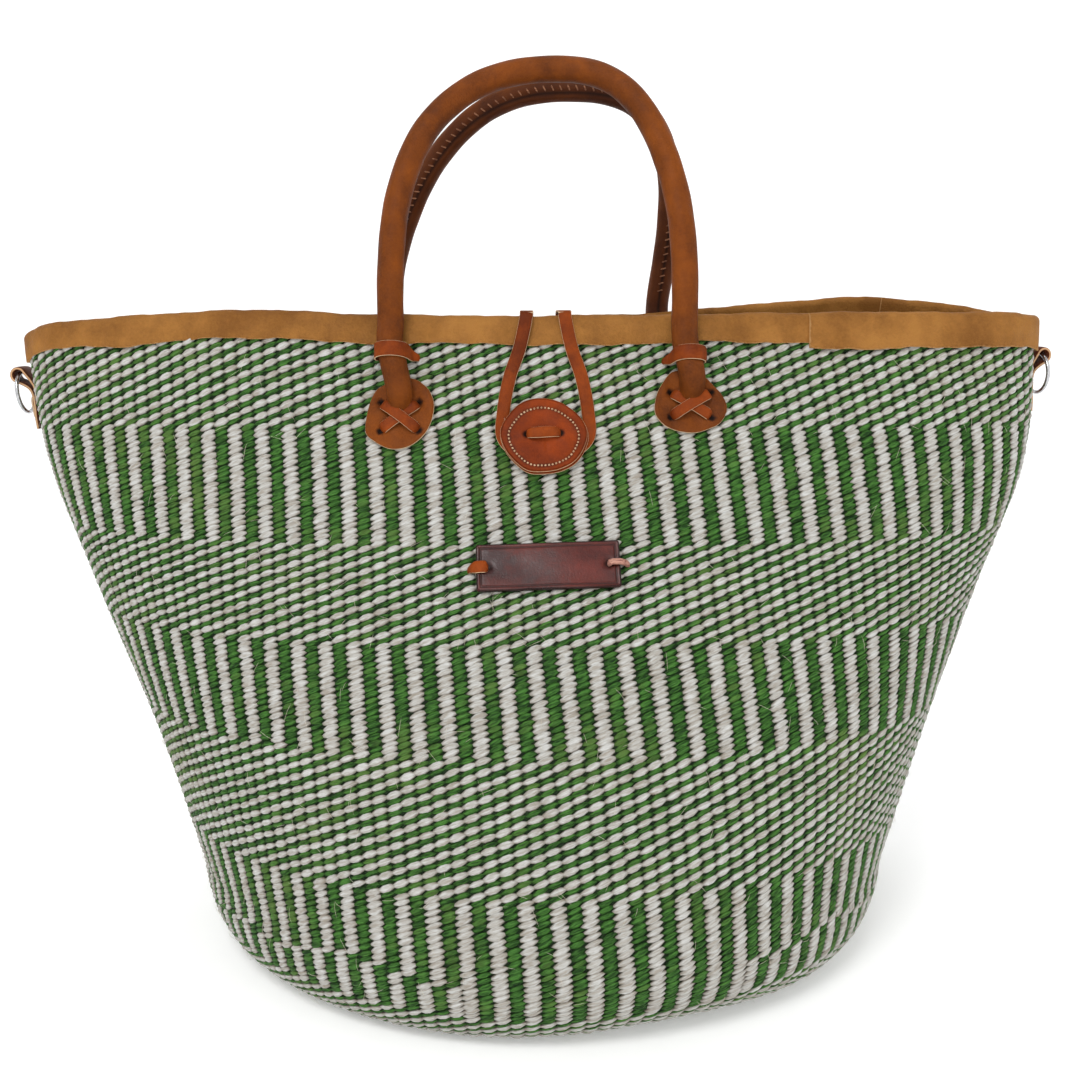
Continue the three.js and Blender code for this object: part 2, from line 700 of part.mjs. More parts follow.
// The middle line of a handle's arch, which leans over the mouth towards the other handle. It runs on
// a little below both bends, where the tube round it is cut level.
function archPath({ side, legs: [left, right], rise, power, skew, skewPower }) {
  const points = [];
  const bend = legLine(left, LEFT_PADDLE, side)[3];
  for (let i = 0; i <= HANDLE_STEPS; i += 1) {
    const angle = Math.PI * (1 - i / HANDLE_STEPS);
    const lift = Math.abs(Math.sin(angle)) ** (2 / power);
    points.push(new THREE.Vector3(
      (left + right) / 2 + ((right - left) / 2) * signedPower(Math.cos(angle), 2 / power)
        + skew * lift ** skewPower,
      bend.y - side * HANDLE_LEAN * lift * lift,
      bend.z + rise * lift,
    ));
  }
  const runOn = (end, next) => {
    const along = next.clone().sub(end).normalize();
    return end.clone().addScaledVector(along, -HANDLE_RADIUS / 2);
  };
  points.unshift(runOn(points[0], points[1]));
  points.push(runOn(points[HANDLE_STEPS + 1], points[HANDLE_STEPS]));
  return smoothPath(points);
}

function addHandle(handle) {
  const { name, side, legs, overStrips } = handle;
  addHandleEnd(name + '_left', legs[0], LEFT_PADDLE, side, overStrips[0]);
  addHandleEnd(name + '_right', legs[1], RIGHT_PADDLE, side, overStrips[1]);
  const path = archPath(handle);
  const bendY = path.getPoint(0).y;
  const below = (height) => legs.map((x) => cubeAbove(x, bendY, height - cubeSize));
  const grip = tube(path, HANDLE_RADIUS, TUBE_SIDES, HANDLE_STEPS, handleBore);
  const rope = tube(path, ROPE_RADIUS, ROPE_SIDES, HANDLE_STEPS);
  add(name + '_handle_grip', cut(grip, below(hingeHeight)), MATERIALS.handle);
  add(name + '_handle_rope', cut(rope, below(hingeHeight + SEAT_GAP)), MATERIALS.rope);
}

HANDLES.forEach(addHandle);

// Button, its lace and the closure loop

const buttonMap = wallFrame(BUTTON_X, BUTTON_DROP, -1);
const buttonFoot = SEAT_GAP + LOOP_LEATHER + SEAT_GAP;
const buttonOutline = BUTTON_OUTLINE_SHARES.map(([u, v]) => [
  (u * BUTTON_WIDTH) / 2,
  (v * BUTTON_HEIGHT) / 2,
]);
const buttonHoles = [-1, 1].map((way) => laceHole(buttonMap, (way * BUTTON_HOLE_SPREAD) / 2, 0));
wallHoles.push(...buttonHoles);

// The button keeps its own flat shape, so it stands on the wall's frame at its middle only.
const buttonOrigin = buttonMap(0, 0, 0);
const buttonOut = faceNormal(BUTTON_X, buttonOrigin.z, -1);
const buttonAcross = new THREE.Vector3(1, 0, 0).addScaledVector(buttonOut, -buttonOut.x).normalize();
const buttonUp = buttonOut.clone().cross(buttonAcross);
const flatOnButton = (u, v, h) => buttonOrigin.clone()
  .addScaledVector(buttonAcross, u)
  .addScaledVector(buttonUp, v)
  .addScaledVector(buttonOut, h);
const buttonLift = buttonFoot + SEAT_GAP;

function buttonLayer(level) {
  const low = buttonLift + level * (BUTTON_LEATHER + SEAT_GAP);
  return cut(wallPlate(flatOnButton, buttonOutline, low, low + BUTTON_LEATHER), buttonHoles);
}

add('button_back', buttonLayer(0), MATERIALS.tab);
add('button_face', buttonLayer(1), MATERIALS.tab);

function buttonLace() {
  const outside = buttonLift + 2 * BUTTON_LEATHER + 2 * SEAT_GAP + LACE_LEATHER / 2;
  const inside = -WALL - SEAT_GAP - LACE_LEATHER / 2;
  const half = BUTTON_HOLE_SPREAD / 2;
  const rows = [
    [-half, inside, LACE_NECK],
    [-half, outside, LACE_NECK],
    [-half / 2, outside + BUTTON_LACE_CROWN, BUTTON_LACE_WIDTH],
    [half / 2, outside + BUTTON_LACE_CROWN, BUTTON_LACE_WIDTH],
    [half, outside, LACE_NECK],
    [half, inside, LACE_NECK],
  ];
  return ribbon(rows.map(([u, h, width]) => ({
    point: flatOnButton(u, 0, h), across: buttonUp, width, thick: LACE_LEATHER,
  })), true);
}

add('button_lace', buttonLace(), MATERIALS.lace);

// The strap lies over the binding: its middle's rise above the free edge, and how far out its bends stand.
const strapRise = SEAT_GAP + BINDING_LEATHER + SEAT_GAP + LOOP_LEATHER / 2;
const strapOut = bindingOut + SEAT_GAP + LOOP_LEATHER / 2;
const strandX = (way) => LOOP_X + way * LOOP_HALF_SPREAD;
const acrossX = new THREE.Vector3(1, 0, 0);

function strapStop(point, across = acrossX, width = LOOP_WIDTH) {
  return { point, across, width, thick: LOOP_LEATHER };
}

// Point beside the binding, out from the wall's face at a height.
function besideBinding(x, z, side) {
  const level = new THREE.Vector3(0, side, 0);
  return facePoint(x, z, side).addScaledVector(level, strapOut);
}

// Both strands come out of the rear wall under the binding, up its face to the bend at its top.
function loopAnchor() {
  const strand = (way) => {
    const x = strandX(way);
    const map = wallFrame(x, LOOP_HOLE_DROP, 1);
    wallHoles.push(laceHole(map, 0, 0));
    const inside = map(0, 0, -WALL - SEAT_GAP - LOOP_LEATHER / 2);
    const outside = map(0, 0, SEAT_GAP + LOOP_LEATHER / 2);
    const top = besideBinding(x, RIM_HEIGHT, 1);
    top.z = edgeHeight(x, 1) + strapRise - LOOP_LEATHER - 2 * SEAT_GAP;
    return [
      strapStop(top),
      strapStop(besideBinding(x, RIM_HEIGHT - BINDING_DROP, 1)),
      strapStop(outside, acrossX, LACE_NECK),
      strapStop(inside, acrossX, LACE_NECK),
    ];
  };
  return ribbon([...strand(-1), ...strand(1).reverse()]);
}

add('closure_loop_anchor', loopAnchor(), MATERIALS.lace);

// The run of each strand over the mouth, from the rear bend to the front one.
function loopRun(way) {
  const x = strandX(way);
  const end = (side) => {
    const point = besideBinding(x, RIM_HEIGHT, side);
    point.z = edgeHeight(x, side) + strapRise;
    return point;
  };
  return ribbon([strapStop(end(1)), strapStop(end(1).lerp(end(-1), 1 / 2)), strapStop(end(-1))]);
}

add('closure_loop_left_run', loopRun(-1), MATERIALS.lace);
add('closure_loop_right_run', loopRun(1), MATERIALS.lace);

// The bight: down from the front bend, bowed out round the button's lace, behind the button.
function loopBight() {
  const place = (x, drop, h) => wallFrame(x, drop, -1)(0, 0, h);
  const low = SEAT_GAP + LOOP_LEATHER / 2;
  const sideStops = (way) => {
    const x = strandX(way);
    const bowX = BUTTON_X + way * LOOP_HALF_BOW;
    const top = besideBinding(x, RIM_HEIGHT, -1);
    top.z = edgeHeight(x, -1) + strapRise - LOOP_LEATHER - 2 * SEAT_GAP;
    return [
      top,
      besideBinding(x + (bowX - x) * BOW_START_SHARE, RIM_HEIGHT - BINDING_DROP, -1),
      place(x + (bowX - x) * BOW_BEND_SHARE, LOOP_BOW_DROP * BOW_BEND_DROP_SHARE, low + bindingOut / 2),
      place(bowX, LOOP_BOW_DROP, low),
      place(bowX, BUTTON_DROP, low),
      place(BUTTON_X + way * LOOP_HALF_BOW * BIGHT_BEND_SHARE, LOOP_BIGHT_DROP - LOOP_WIDTH / 2, low),
    ];
  };
  const line = [...sideStops(-1), place(BUTTON_X, LOOP_BIGHT_DROP, low), ...sideStops(1).reverse()];
  const stops = line.map((point, i) => {
    const before = line[Math.max(i - 1, 0)];
    const after = line[Math.min(i + 1, line.length - 1)];
    const along = after.clone().sub(before).normalize();
    const out = faceNormal(point.x, Math.min(point.z, RIM_HEIGHT), -1);
    return strapStop(point, along.cross(out));
  });
  return ribbon(stops);
}

add('closure_loop_bight', loopBight(), MATERIALS.lace);

// Name plate and its two ties

const labelMap = wallFrame(LABEL_X, LABEL_DROP, -1, LABEL_TILT);

function labelOutline() {
  const lower = [];
  for (let i = -LABEL_STEPS; i <= LABEL_STEPS; i += 1) {
    lower.push([(LABEL_WIDTH / 2) * (i / LABEL_STEPS), -LABEL_HEIGHT / 2]);
  }
  return [...lower, ...lower.map(([u, v]) => [-u, -v])];
}

// A tie goes through the plate near its end, over the end and back through the wall beside it.
function plateTie(way, width, thick) {
  const holeAt = way * (LABEL_WIDTH / 2 - LABEL_HOLE_INSET);
  const beside = way * (LABEL_WIDTH / 2 + LABEL_TIE_REACH);
  const outside = SEAT_GAP + LABEL_LEATHER + SEAT_GAP + thick / 2;
  const inside = -WALL - SEAT_GAP - thick / 2;
  const neck = Math.min(width, LACE_NECK);
  const rows = [
    [holeAt, inside, neck],
    [holeAt, outside, neck],
    [(holeAt + way * (LABEL_WIDTH / 2)) / 2, outside, width],
    [way * (LABEL_WIDTH / 2 + SEAT_GAP), outside, width],
    [beside, SEAT_GAP, neck],
    [beside, inside, neck],
  ];
  const holes = [laceHole(labelMap, holeAt, 0), laceHole(labelMap, beside, 0)];
  wallHoles.push(...holes);
  const across = labelMap.direction(holeAt, 0, 0, 1);
  const tie = ribbon(rows.map(([u, h, w]) => ({ point: labelMap(u, 0, h), across, width: w, thick })), true);
  return { tie, hole: holes[0] };
}

const leftTie = plateTie(-1, LACE_WIDTH, LACE_LEATHER);
const rightTie = plateTie(1, TWINE_WIDTH, TWINE_DEPTH);
const label = wallPlate(labelMap, labelOutline(), SEAT_GAP, SEAT_GAP + LABEL_LEATHER);
add('name_plate', cut(label, [leftTie.hole, rightTie.hole]), MATERIALS.plate);
add('name_plate_left_tie', leftTie.tie, MATERIALS.lace);
add('name_plate_right_tie', rightTie.tie, MATERIALS.twine);

// Ring tabs: a strap folded round the ring at the top, laced to the wall's end

const tabInnerLayer = SEAT_GAP + TAB_LEATHER / 2;
const tabOuterLayer = tabInnerLayer + TAB_LEATHER + SEAT_GAP;

// The strap's middle line in its own plane: how far out of the wall, and how far up from its foot.
function tabLine() {
  const bend = TAB_EYE_RADIUS + TAB_LEATHER / 2;
  const line = [[tabInnerLayer, TAB_SHORT_LAYER], [tabInnerLayer, TAB_LENGTH - 2 * bend]];
  const { from, to, step } = TAB_BEND_DEGREES;
  for (let degrees = from; degrees >= to; degrees -= step) {
    const turn = THREE.MathUtils.degToRad(degrees);
    line.push([TAB_EYE_OFFSET + bend * Math.cos(turn), TAB_LENGTH + bend * Math.sin(turn)]);
  }
  line.push([tabOuterLayer, TAB_LENGTH - 2 * bend - TAB_LEATHER]);
  line.push([tabOuterLayer, TAB_LACE_FOOT], [tabOuterLayer, 0]);
  return line;
}

// The lace's stops: how far out, how far up, and its width there.
function tabLaceRows() {
  const outside = tabOuterLayer + TAB_LEATHER / 2 + SEAT_GAP + LACE_LEATHER / 2;
  const inside = -WALL - SEAT_GAP - LACE_LEATHER / 2;
  const middle = (TAB_LACE_FOOT + TAB_LACE_HEAD) / 2;
  return [
    [inside, TAB_LACE_FOOT, LACE_NECK],
    [outside, TAB_LACE_FOOT, LACE_NECK],
    [outside, middle, LACE_WIDTH],
    [outside, TAB_LACE_HEAD, LACE_NECK],
    [inside, TAB_LACE_HEAD, LACE_NECK],
    [inside, middle, LACE_WIDTH],
  ];
}

function addRingTab({ name, angle, drop }) {
  const foot = wallPoint(angle, RIM_HEIGHT - drop);
  const head = wallPoint(angle, RIM_HEIGHT - drop + TAB_LENGTH);
  const up = head.clone().sub(foot).normalize();
  const across = up.clone().cross(outwardAt(foot.x, foot.y, sectionAt(foot.z))).normalize();
  const out = across.clone().cross(up);
  const at = (h, v) => foot.clone().addScaledVector(out, h).addScaledVector(up, v);
  const strap = tabLine().map(([h, v]) => ({
    point: at(h, v), across, width: TAB_WIDTH, thick: TAB_LEATHER,
  }));
  const lace = tabLaceRows().map(([h, v, width]) => ({
    point: at(h, v), across, width, thick: LACE_LEATHER,
  }));
  const holes = [TAB_LACE_FOOT, TAB_LACE_HEAD].map((v) => {
    const inside = at(-WALL - CUT_OVERRUN, v);
    return cutter(inside, at(tabOuterLayer + CUT_OVERRUN, v), laceHoleRadius);
  });
  wallHoles.push(...holes);

  // The ring's wire runs through the eye a little above its middle, so it can turn there.
  const ring = new THREE.TorusGeometry(RING_RADIUS, RING_WIRE_RADIUS, WIRE_SIDES, RING_STEPS);
  ring.applyMatrix4(new THREE.Matrix4().makeBasis(across, up, across.clone().cross(up)));
  ring.translate(...at(TAB_EYE_OFFSET, TAB_LENGTH + RING_SET - RING_RADIUS).toArray());
  add(name + '_ring_tab', cut(ribbon(strap), holes), MATERIALS.strap);
  add(name + '_ring_tab_lace', ribbon(lace, true), MATERIALS.lace);
  add(name + '_ring', ring, MATERIALS.steel);
}

RING_TABS.forEach(addRingTab);

// Leather binding folded over the free edge of the weave

function bindingStrip(fromAngle, toAngle, drop) {
  const near = bindingOut;
  const far = -WALL - bindingOut;
  const top = bindingOut;
  const chamfer = BINDING_LEATHER * BINDING_CHAMFER_SHARE;
  const section = [
    [near, -drop], [near, top - chamfer], [near - chamfer, top],
    [far + chamfer, top], [far, top - chamfer], [far, -drop],
    [-WALL - SEAT_GAP, -drop], [-WALL - SEAT_GAP, SEAT_GAP], [SEAT_GAP, SEAT_GAP], [SEAT_GAP, -drop],
  ];
  const step = (2 * Math.PI) / WALL_SIDES;
  const angles = [fromAngle];
  for (let k = Math.floor(fromAngle / step) + 1; k * step < toAngle; k += 1) angles.push(k * step);
  angles.push(toAngle);
  const rings = angles.map((angle) => section.map(([offset, above]) => facetPoint(angle, above, offset)));
  const outline = section.map(([offset, above]) => new THREE.Vector2(offset, above));
  return loft(rings, false, THREE.ShapeUtils.triangulateShape(outline, []));
}

const seamHalf = SEAT_GAP / 2 / RIM_HALF_WIDTH;
const rearSeam = angleAtX(REAR_SEAM_X, 1);
const frontSeam = angleAtX(FRONT_SEAM_X, -1);
const longStrip = bindingStrip(rearSeam + seamHalf, frontSeam + 2 * Math.PI - seamHalf, BINDING_DROP);
const shortStrip = bindingStrip(frontSeam + seamHalf, rearSeam - seamHalf, SHORT_BINDING_DROP);
add('rim_binding_long', longStrip, MATERIALS.binding);
add('rim_binding_short', shortStrip, MATERIALS.binding);

// The woven shell, open at the top, with the holes of every lace

function wovenBody() {
  const angles = Array.from({ length: WALL_SIDES }, (_, j) => (2 * Math.PI * j) / WALL_SIDES);
  const upperZone = KNUCKLE_HEIGHT + (RIM_HEIGHT - KNUCKLE_HEIGHT) * UPPER_ZONE_SHARE;
  const outer = [];
  for (let i = 0; i < KNUCKLE_RINGS; i += 1) {
    outer.push(KNUCKLE_HEIGHT * (1 - Math.cos((Math.PI / 2) * (i / KNUCKLE_RINGS))));
  }
  for (let i = 0; i < LOWER_RINGS; i += 1) {
    outer.push(KNUCKLE_HEIGHT + ((upperZone - KNUCKLE_HEIGHT) * i) / LOWER_RINGS);
  }
  for (let i = 0; i <= UPPER_RINGS; i += 1) {
    outer.push(upperZone + ((RIM_HEIGHT - upperZone) * i) / UPPER_RINGS);
  }
  // Above the upper zone's start the rings share out the rise of the free edge.
  const lifted = (z, angle) => {
    const share = Math.max(0, (z - upperZone) / (RIM_HEIGHT - upperZone));
    return z + rimRise(angle) * share;
  };
  const ring = (z, offset) => angles.map((angle) => wallPoint(angle, lifted(z, angle), offset));
  const rings = outer.map((z) => ring(z, 0));
  const underBinding = RIM_HEIGHT - SHORT_BINDING_DROP;
  rings.push(ring(RIM_HEIGHT, -WALL));
  for (let i = INNER_RINGS; i >= 0; i -= 1) {
    rings.push(ring(FLOOR + ((underBinding - FLOOR) * i) / INNER_RINGS, -WALL));
  }
  return loft(rings);
}

add('woven_body', cut(wovenBody(), wallHoles), MATERIALS.sisal);

export default basket;
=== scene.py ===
"""A kiondo basket in twined sisal and leather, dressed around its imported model.

Sizes are millimetres unless a name says otherwise. Z is up, X runs along the wide mouth, and the button's
side faces -Y. Shapes are numpy surfaces: a stitch lattice on the shell, strips and tubes carried along
paths, and plates laid on the wall.
"""

import logging
import math
from dataclasses import dataclass, field
from enum import Enum
from typing import Callable, Sequence

import bpy
import numpy as np
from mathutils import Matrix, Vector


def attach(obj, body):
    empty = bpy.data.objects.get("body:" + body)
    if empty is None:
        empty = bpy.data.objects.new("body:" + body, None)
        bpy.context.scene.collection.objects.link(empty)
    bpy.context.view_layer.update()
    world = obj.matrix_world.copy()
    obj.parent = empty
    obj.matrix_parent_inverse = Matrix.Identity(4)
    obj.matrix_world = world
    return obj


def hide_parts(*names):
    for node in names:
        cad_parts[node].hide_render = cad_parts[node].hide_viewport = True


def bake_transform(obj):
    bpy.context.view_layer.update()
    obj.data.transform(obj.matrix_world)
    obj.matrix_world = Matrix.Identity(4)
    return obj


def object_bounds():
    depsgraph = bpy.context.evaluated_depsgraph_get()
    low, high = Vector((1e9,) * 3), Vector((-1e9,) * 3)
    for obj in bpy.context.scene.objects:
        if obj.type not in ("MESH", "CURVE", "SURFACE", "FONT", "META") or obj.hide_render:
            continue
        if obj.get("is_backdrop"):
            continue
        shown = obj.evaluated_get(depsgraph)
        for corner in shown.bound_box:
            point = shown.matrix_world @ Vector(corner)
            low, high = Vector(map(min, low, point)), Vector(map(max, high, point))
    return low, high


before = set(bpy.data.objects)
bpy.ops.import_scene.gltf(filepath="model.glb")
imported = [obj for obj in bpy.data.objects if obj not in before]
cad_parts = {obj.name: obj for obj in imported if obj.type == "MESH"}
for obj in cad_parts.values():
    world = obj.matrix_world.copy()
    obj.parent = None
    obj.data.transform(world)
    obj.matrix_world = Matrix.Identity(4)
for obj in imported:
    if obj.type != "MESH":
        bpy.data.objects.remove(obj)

CAD_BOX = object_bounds()

LOG = logging.getLogger("kiondo")
MM = 0.001
TURN = 2.0 * math.pi
Array = np.ndarray
Point = tuple[float, float, float]
Tone = tuple[float, float, float]
Pairs = tuple[tuple[float, float], ...]
Socket = bpy.types.NodeSocket


class Side(Enum):
    """The two long faces of the basket, by their way along Y."""

    FRONT = -1
    REAR = 1


class Face(Enum):
    """The two faces of the twining, by which way their stitches stand off the wall."""

    OUTSIDE = 1
    INSIDE = -1


class Stripe(Enum):
    """How green and natural stitches alternate in a band."""

    UPRIGHT = "upright"
    SLANTED = "slanted"


def srgb(red: float, green: float, blue: float) -> tuple[float, float, float, float]:
    """A colour of 0 to 255 as linear light, by the sRGB curve, with full alpha."""
    parts = [c / 255.0 for c in (red, green, blue)]
    return (*(c / 12.92 if c <= 0.04045 else ((c + 0.055) / 1.055) ** 2.4 for c in parts), 1.0)


def unit(vectors: Array) -> Array:
    """Vectors scaled to length one along their last axis."""
    return vectors / np.maximum(np.linalg.norm(vectors, axis=-1, keepdims=True), 1e-9)


def alike(*values: Array | float) -> Sequence[Array]:
    """Values as arrays of numbers, all of one shape."""
    return np.broadcast_arrays(*(np.asarray(value, float) for value in values))


def signed_power(value: Array, power: Array) -> Array:
    """The magnitude raised to a power, with the value's sign kept."""
    return np.sign(value) * np.abs(value) ** power


def smooth_share(values: Sequence[float], share: Array) -> Array:
    """A cubic through evenly spaced values, straight beyond its ends.

    Args:
        values: The values at even steps from share 0 to share 1.
        share: Where to read the curve.

    Returns:
        The curve's value at each share.
    """
    held = np.asarray(values, float)
    slopes = np.gradient(held)
    last = len(held) - 1
    place = np.asarray(share, float) * last
    i = np.clip(np.floor(place).astype(int), 0, last - 1)
    t = np.clip(place - i, 0.0, 1.0)
    rise = t * t * (3 - 2 * t)
    inside = (
        held[i] * (1 - rise)
        + held[i + 1] * rise
        + slopes[i] * t * (1 - t) ** 2
        + slopes[i + 1] * t * t * (t - 1)
    )
    return inside + np.minimum(place, 0) * slopes[0] + np.maximum(place - last, 0) * slopes[-1]


# The shell and the places on it


@dataclass(frozen=True)
class Swell:
    """A rounded rise or dip: its height, and its place and spread in turns round the mouth."""

    rise: float
    place: float
    spread: float

    def at(self, angle: Array) -> Array:
        """The height at an angle: rise times exp(-(distance / spread) squared)."""
        away = np.mod(angle / TURN - self.place, 1.0)
        return self.rise * np.exp(-((np.minimum(away, 1 - away) / self.spread) ** 2))


@dataclass(frozen=True)
class Shell:
    """The basket's wall: a round base that opens into a wide flat mouth."""

    flat_radius: float = 150.0
    knuckle_radius: float = 174.5
    knuckle_height: float = 40.0
    rim_half_width: float = 252.5
    rim_half_depth: float = 50.0
    rim_height: float = 303.0
    wall: float = 3.6
    widening: tuple[float, ...] = (0, 0.275, 0.61, 0.925, 1)
    flattening: tuple[float, ...] = (0, 0.197, 0.494, 0.815, 1)
    middles: tuple[float, ...] = (1, 0.7, 0, -0.1, -1.3)
    sway: float = 2.8
    round_power: float = 2.0
    rim_power: float = 2.4
    upper_zone_share: float = 0.72
    swells: tuple[Swell, ...] = (
        Swell(11.5, 0.14, 0.074),
        Swell(3.6, 0.88, 0.14),
        Swell(4, 0.67, 0.045),
        Swell(-8, 0.5, 0.055),
    )
    base_tuck: Swell = Swell(14, 0.81, 0.055)

    def section(self, z: Array, angle: Array) -> tuple[Array, Array, Array, Array]:
        """Half width, half depth, power and middle of the superellipse at a height.

        Below the knuckle's top the radius follows a quarter ellipse. Above it the half width and half
        depth follow their own share curves.

        Args:
            z: Heights.
            angle: Angles round the mouth.

        Returns:
            The four values at each height.
        """
        z = np.asarray(z, float)
        down = np.clip(1 - z / self.knuckle_height, 0, 1)
        flat = self.flat_radius - self.base_tuck.at(angle)
        low = flat + (self.knuckle_radius - flat) * np.sqrt(1 - down * down)
        share = (z - self.knuckle_height) / (self.rim_height - self.knuckle_height)
        wide = smooth_share(self.widening, share)
        deep = smooth_share(self.flattening, share)
        below = z < self.knuckle_height
        power, radius = self.round_power, self.knuckle_radius
        a = np.where(below, low, radius + (self.rim_half_width - radius) * wide)
        b = np.where(below, low, radius + (self.rim_half_depth - radius) * deep)
        n = np.where(below, power, power + (self.rim_power - power) * share)
        middle = np.where(below, self.sway, self.sway * smooth_share(self.middles, share))
        return a, b, n, middle

    @staticmethod
    def level_normal(x: Array, y: Array, section: tuple[Array, Array, Array, Array]) -> Array:
        """The level unit vector out of the section: the superellipse's gradient.

        Args:
            x: Sideways places on the wall.
            y: Their depths.
            section: What section gives there.

        Returns:
            Level unit vectors.
        """
        a, b, n, middle = section
        across = signed_power((x - middle) / a, n - 1) / a
        deep = signed_power(y / b, n - 1) / b
        return unit(np.stack([across, deep, np.zeros_like(across)], -1))

    def point(self, angle: Array, z: Array, offset: Array | float = 0.0) -> Array:
        """A point of the wall by its angle round the mouth, offset level from the outer face.

        Args:
            angle: Angles round the mouth.
            z: Heights.
            offset: Level distances out of the wall.

        Returns:
            The points: a superellipse's, by the powers of cosine and sine.
        """
        angle, z = alike(angle, z)
        section = self.section(z, angle)
        a, b, n, middle = section
        x = middle + a * signed_power(np.cos(angle), 2 / n)
        y = b * signed_power(np.sin(angle), 2 / n)
        out = self.level_normal(x, y, section)
        return np.stack([x, y, z], -1) + out * np.asarray(offset)[..., None]

    def rim_rise(self, angle: Array) -> Array:
        """How far the free edge stands above or below its even height."""
        return sum(swell.at(angle) for swell in self.swells)

    def lifted(self, z: Array, angle: Array) -> Array:
        """A height with its share of the free edge's rise, from the upper zone's start up."""
        start = self.knuckle_height + (self.rim_height - self.knuckle_height) * self.upper_zone_share
        return z + self.rim_rise(angle) * np.maximum(0, (z - start) / (self.rim_height - start))

    def angle_at(self, x: float, side: Side) -> float:
        """The angle at which the free edge passes a sideways place."""
        a, _, n, middle = self.section(np.array(self.rim_height), np.array(0.0))
        return side.value * float(np.arccos(signed_power((x - middle) / a, n / 2)))

    def edge_height(self, x: float, side: Side) -> float:
        """Height of the free edge at a sideways place on a long face."""
        return self.rim_height + float(self.rim_rise(np.array(self.angle_at(x, side))))

    def face_point(self, x: Array, z: Array, side: Side) -> Array:
        """The point of a long face at a sideways place and a height, solved from the superellipse.

        Args:
            x: Sideways places.
            z: Heights.
            side: Which long face.

        Returns:
            The points.
        """
        x, z = alike(x, z)
        a, b, n, middle = self.section(z, np.zeros_like(z))
        deep = np.maximum(0, 1 - np.abs((x - middle) / a) ** n) ** (1 / n)
        return np.stack([x, side.value * b * deep, z], -1)

    def face_normal(self, x: Array, z: Array, side: Side) -> Array:
        """The unit normal of a long face: its level normal, tipped by the wall's lean.

        Args:
            x: Sideways places.
            z: Heights.
            side: Which long face.

        Returns:
            The normals.
        """
        here = self.face_point(x, z, side)
        zeros = np.zeros_like(here[..., 2])
        level = self.level_normal(here[..., 0], here[..., 1], self.section(here[..., 2], zeros))
        half = 0.5
        z = np.asarray(z)
        change = self.face_point(x, z + half, side) - self.face_point(x, z - half, side)
        lean = (change * level).sum(-1) / (2 * half)
        return unit(np.stack([level[..., 0], level[..., 1], -lean], -1))


SHELL = Shell()
SEAT_GAP = 0.35
BINDING_LEATHER = 1.2
BINDING_OUT = SEAT_GAP + BINDING_LEATHER
BINDING_DROP = 12.0


@dataclass(frozen=True)
class WallFrame:
    """Maps u sideways, v up the wall and h out of it to points, around a place on a long face."""

    x: float
    drop: float
    side: Side
    tilt: float = 0.0

    def at(self, u: Array | float, v: Array | float, h: Array | float) -> Array:
        """The point at u, v on the wall, lifted by h along the wall's normal.

        Args:
            u: Sideways steps.
            v: Steps up the wall.
            h: Heights off it.

        Returns:
            The points.
        """
        centre = SHELL.rim_height - self.drop
        normal = SHELL.face_normal(self.x, centre, self.side)
        steep = math.hypot(normal[0], normal[1])
        u, v, h = alike(u, v, h)
        along = u * math.cos(self.tilt) - v * math.sin(self.tilt)
        up = u * math.sin(self.tilt) + v * math.cos(self.tilt)
        place = SHELL.face_point(self.x + along, centre + up * steep, self.side)
        return place + SHELL.face_normal(place[..., 0], place[..., 2], self.side) * h[..., None]

    def way(self, u: float, v: float, du: float, dv: float) -> Array:
        """The unit direction on the wall of a step of du, dv about u, v."""
        du, dv = du / 2, dv / 2
        return unit(self.at(u + du, v + dv, 0) - self.at(u - du, v - dv, 0))

    def axes(self) -> tuple[Array, Array, Array]:
        """The frame's middle, and its sideways and upward unit vectors there."""
        return self.at(0, 0, 0), self.way(0, 0, 1, 0), self.way(0, 0, 0, 1)

    def flat(self, points: Array) -> Array:
        """The u and v of points near the middle: their shares of its two directions.

        Args:
            points: Rows of x, y and z.

        Returns:
            Rows of u and v.
        """
        origin, across, up = self.axes()
        return np.stack([(points - origin) @ across, (points - origin) @ up], -1)


@dataclass(frozen=True)
class FlatFrame(WallFrame):
    """A flat plane that touches the wall's direction at one place, for a stiff piece."""

    def axes(self) -> tuple[Array, Array, Array]:
        """The plane's origin, and its sideways and upward unit vectors.

        Returns:
            The three, with the sideways one as level as the plane allows.
        """
        origin = super().at(0, 0, 0)
        out = SHELL.face_normal(origin[0], origin[2], self.side)
        across = unit(np.array([1.0, 0, 0]) - out * out[0])
        return origin, across, np.cross(out, across)

    def at(self, u: Array | float, v: Array | float, h: Array | float) -> Array:
        """The point at u, v, h of the plane.

        Args:
            u: Sideways steps.
            v: Steps up the wall.
            h: Heights off it.

        Returns:
            The points.
        """
        origin, across, up = self.axes()
        u, v, h = alike(u, v, h)
        return origin + u[..., None] * across + v[..., None] * up + h[..., None] * np.cross(across, up)


# Meshes from arrays


